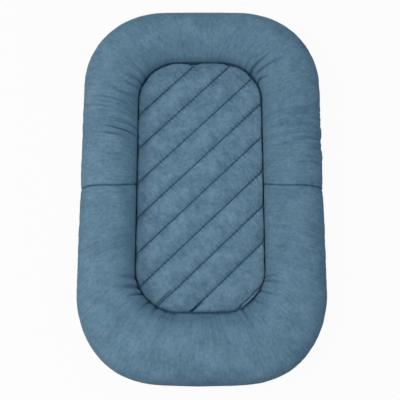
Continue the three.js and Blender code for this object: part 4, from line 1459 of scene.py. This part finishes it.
for number, across in enumerate(stitch_rows, start=1):
    start, stop = [row_end(np.array([across]), towards, STITCH_INSET)[0] for towards in (-1, 1)]
    along = np.linspace(start, stop, ROW_SAMPLES)
    line = np.column_stack([quilt_plan(along, across + 0 * along), 0 * along + QUILT_SEAM_Z + STITCH_RISE])
    stitch_along(f"quilting_stitches_{number}", line, [0, 0, 1], f"quilt_thread_{number}", "pad")

# %% [markdown]
# Inside the bag the wadding follows the top from below, so it is the same strip laid deeper, with a
# flat underside. The foam and the back are panels. Both are pulled in with the top at its corner.

# %% Wadding, foam and back of the pad
PAD_WADDING_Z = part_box("pad_wadding")[0].z
WADDING_DEPTH = QUILT_CLOTH + GAP + 1.5 * MM
WADDING_INSET = 8 * MM
WADDING_LEAST = 0.4 * MM  # its least thickness, under a fold
CORE_CLEAR = 3 * MM  # the foam is pulled in this much further than the top
CORE_ROUND = 2.5 * MM
core_low, core_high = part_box("pad_foam_core")
back_low, back_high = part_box("pad_back_cloth")
CORE_INSET = HOLLOW_X - core_high.x
BAND_INSET = HOLLOW_X - back_high.x

wadding = quilt_strip("quilt_wadding", WADDING_DEPTH)[0]
points = points_of(wadding)
keep_inside(points[:, :2], WADDING_INSET)
sunk = points[:, 2] - creased(points[:, :2], PAD_FOLDS)
points[:, 2] = np.maximum(sunk, PAD_WADDING_Z + WADDING_LEAST)
move_points(wadding, points)
bpy.ops.object.mode_set(mode="EDIT")
bpy.ops.mesh.select_all(action="SELECT")
bpy.ops.mesh.extrude_region_move(TRANSFORM_OT_translate={"value": (0, 0, -QUILT_PUFF)})
bpy.ops.transform.resize(value=(1, 1, 0), center_override=(0, 0, PAD_WADDING_Z))
bpy.ops.mesh.select_all(action="SELECT")
bpy.ops.mesh.normals_make_consistent(inside=False)
bpy.ops.object.mode_set(mode="OBJECT")
finish(wadding, fibre, "stuffing", "pad_wadding", body="pad", fill=0.6)

foam_core = panel("foam_core", in_hollow(CORE_INSET), core_low.z, core_high.z - core_low.z, PANEL_CELL)
soften(foam_core, CORE_ROUND)
points = points_of(foam_core)
plan = points[:, :2]
push_out(plan, -(TUCK_PULL + CORE_CLEAR) * tuck_near_rim(plan, CORE_INSET))
move_points(foam_core, points)
finish(foam_core, foam, "foam", "pad_foam_core", body="pad", fill=1)

back_cloth = panel("pad_back", in_hollow(BAND_INSET), back_low.z, back_high.z - back_low.z, PANEL_CELL / 2,
                   ripple=0.25 * MM, seed=9)
finish(back_cloth, lining, "lining", "pad_back_cloth", body="pad")

# %% [markdown]
# The band and the piping run once round the pad. Both start as torus primitives, like the filling:
# the band's section is squared into an upright strip that bulges a little, and the piping's is round.

# %% Band and piping of the pad
BAND_CLOTH = 1.2 * MM
BAND_BULGE = 0.5 * MM
BAND_LAP = 0.2 * MM
HALF_ROUND = 1200 * MM  # cloth along half of the pad's edge
HALF_SHIFT = 300 * MM  # keeps the pattern of one half out of step with the other


def edge_plan(end, share, inset):
    return both_halves(end, share, lambda s, half, own: hollow_outline(s, half, inset[own]))


band, end, share, turn = round_ring("pad_band", 256, 24)
level = np.clip(1.25 * np.sin(turn), -1, 1)
depth = np.clip(-1.6 * np.cos(turn), -1, 1)
plan = edge_plan(end, share, BAND_INSET + (1 + depth) * BAND_CLOTH / 2 - BAND_BULGE * (1 - level**2))
rise = level * ((PAD_WADDING_Z - core_low.z) / 2 + BAND_LAP)
lift = TUCK_RISE * tuck(plan) * np.maximum(level, 0)
move_points(band, np.column_stack([plan, (core_low.z + PAD_WADDING_Z) / 2 + rise + lift]))
keep_map(band, HALF_ROUND * share + HALF_SHIFT * end, rise)
finish(band, bolster_velvet, "velvet", "pad_side_band", body="pad")

piping, end, share, turn = round_ring("piped_edge", 256, 10)
plan = edge_plan(end, share, PAD_EASE + PIPING_RADIUS * (1 - np.cos(turn)))
pulled = tuck(plan)
swell = TUCK_SWELL * pulled
push_out(plan, -swell * (1 - np.cos(turn)) - TUCK_SHIFT * pulled)
pulled = tuck(plan)
z = PIPING_Z + (PIPING_RADIUS + swell) * np.sin(turn) + TUCK_RISE * pulled
move_points(piping, np.column_stack([plan, z]))
# Painted light on the piping where the corner pulls it up.
mark(piping, "relief_or_painted_light", 0.1 * pulled)
keep_map(piping, HALF_ROUND * share + HALF_SHIFT * end, turn * PIPING_RADIUS)
finish(piping, pad_velvet, "velvet", "pad_piping", body="pad")
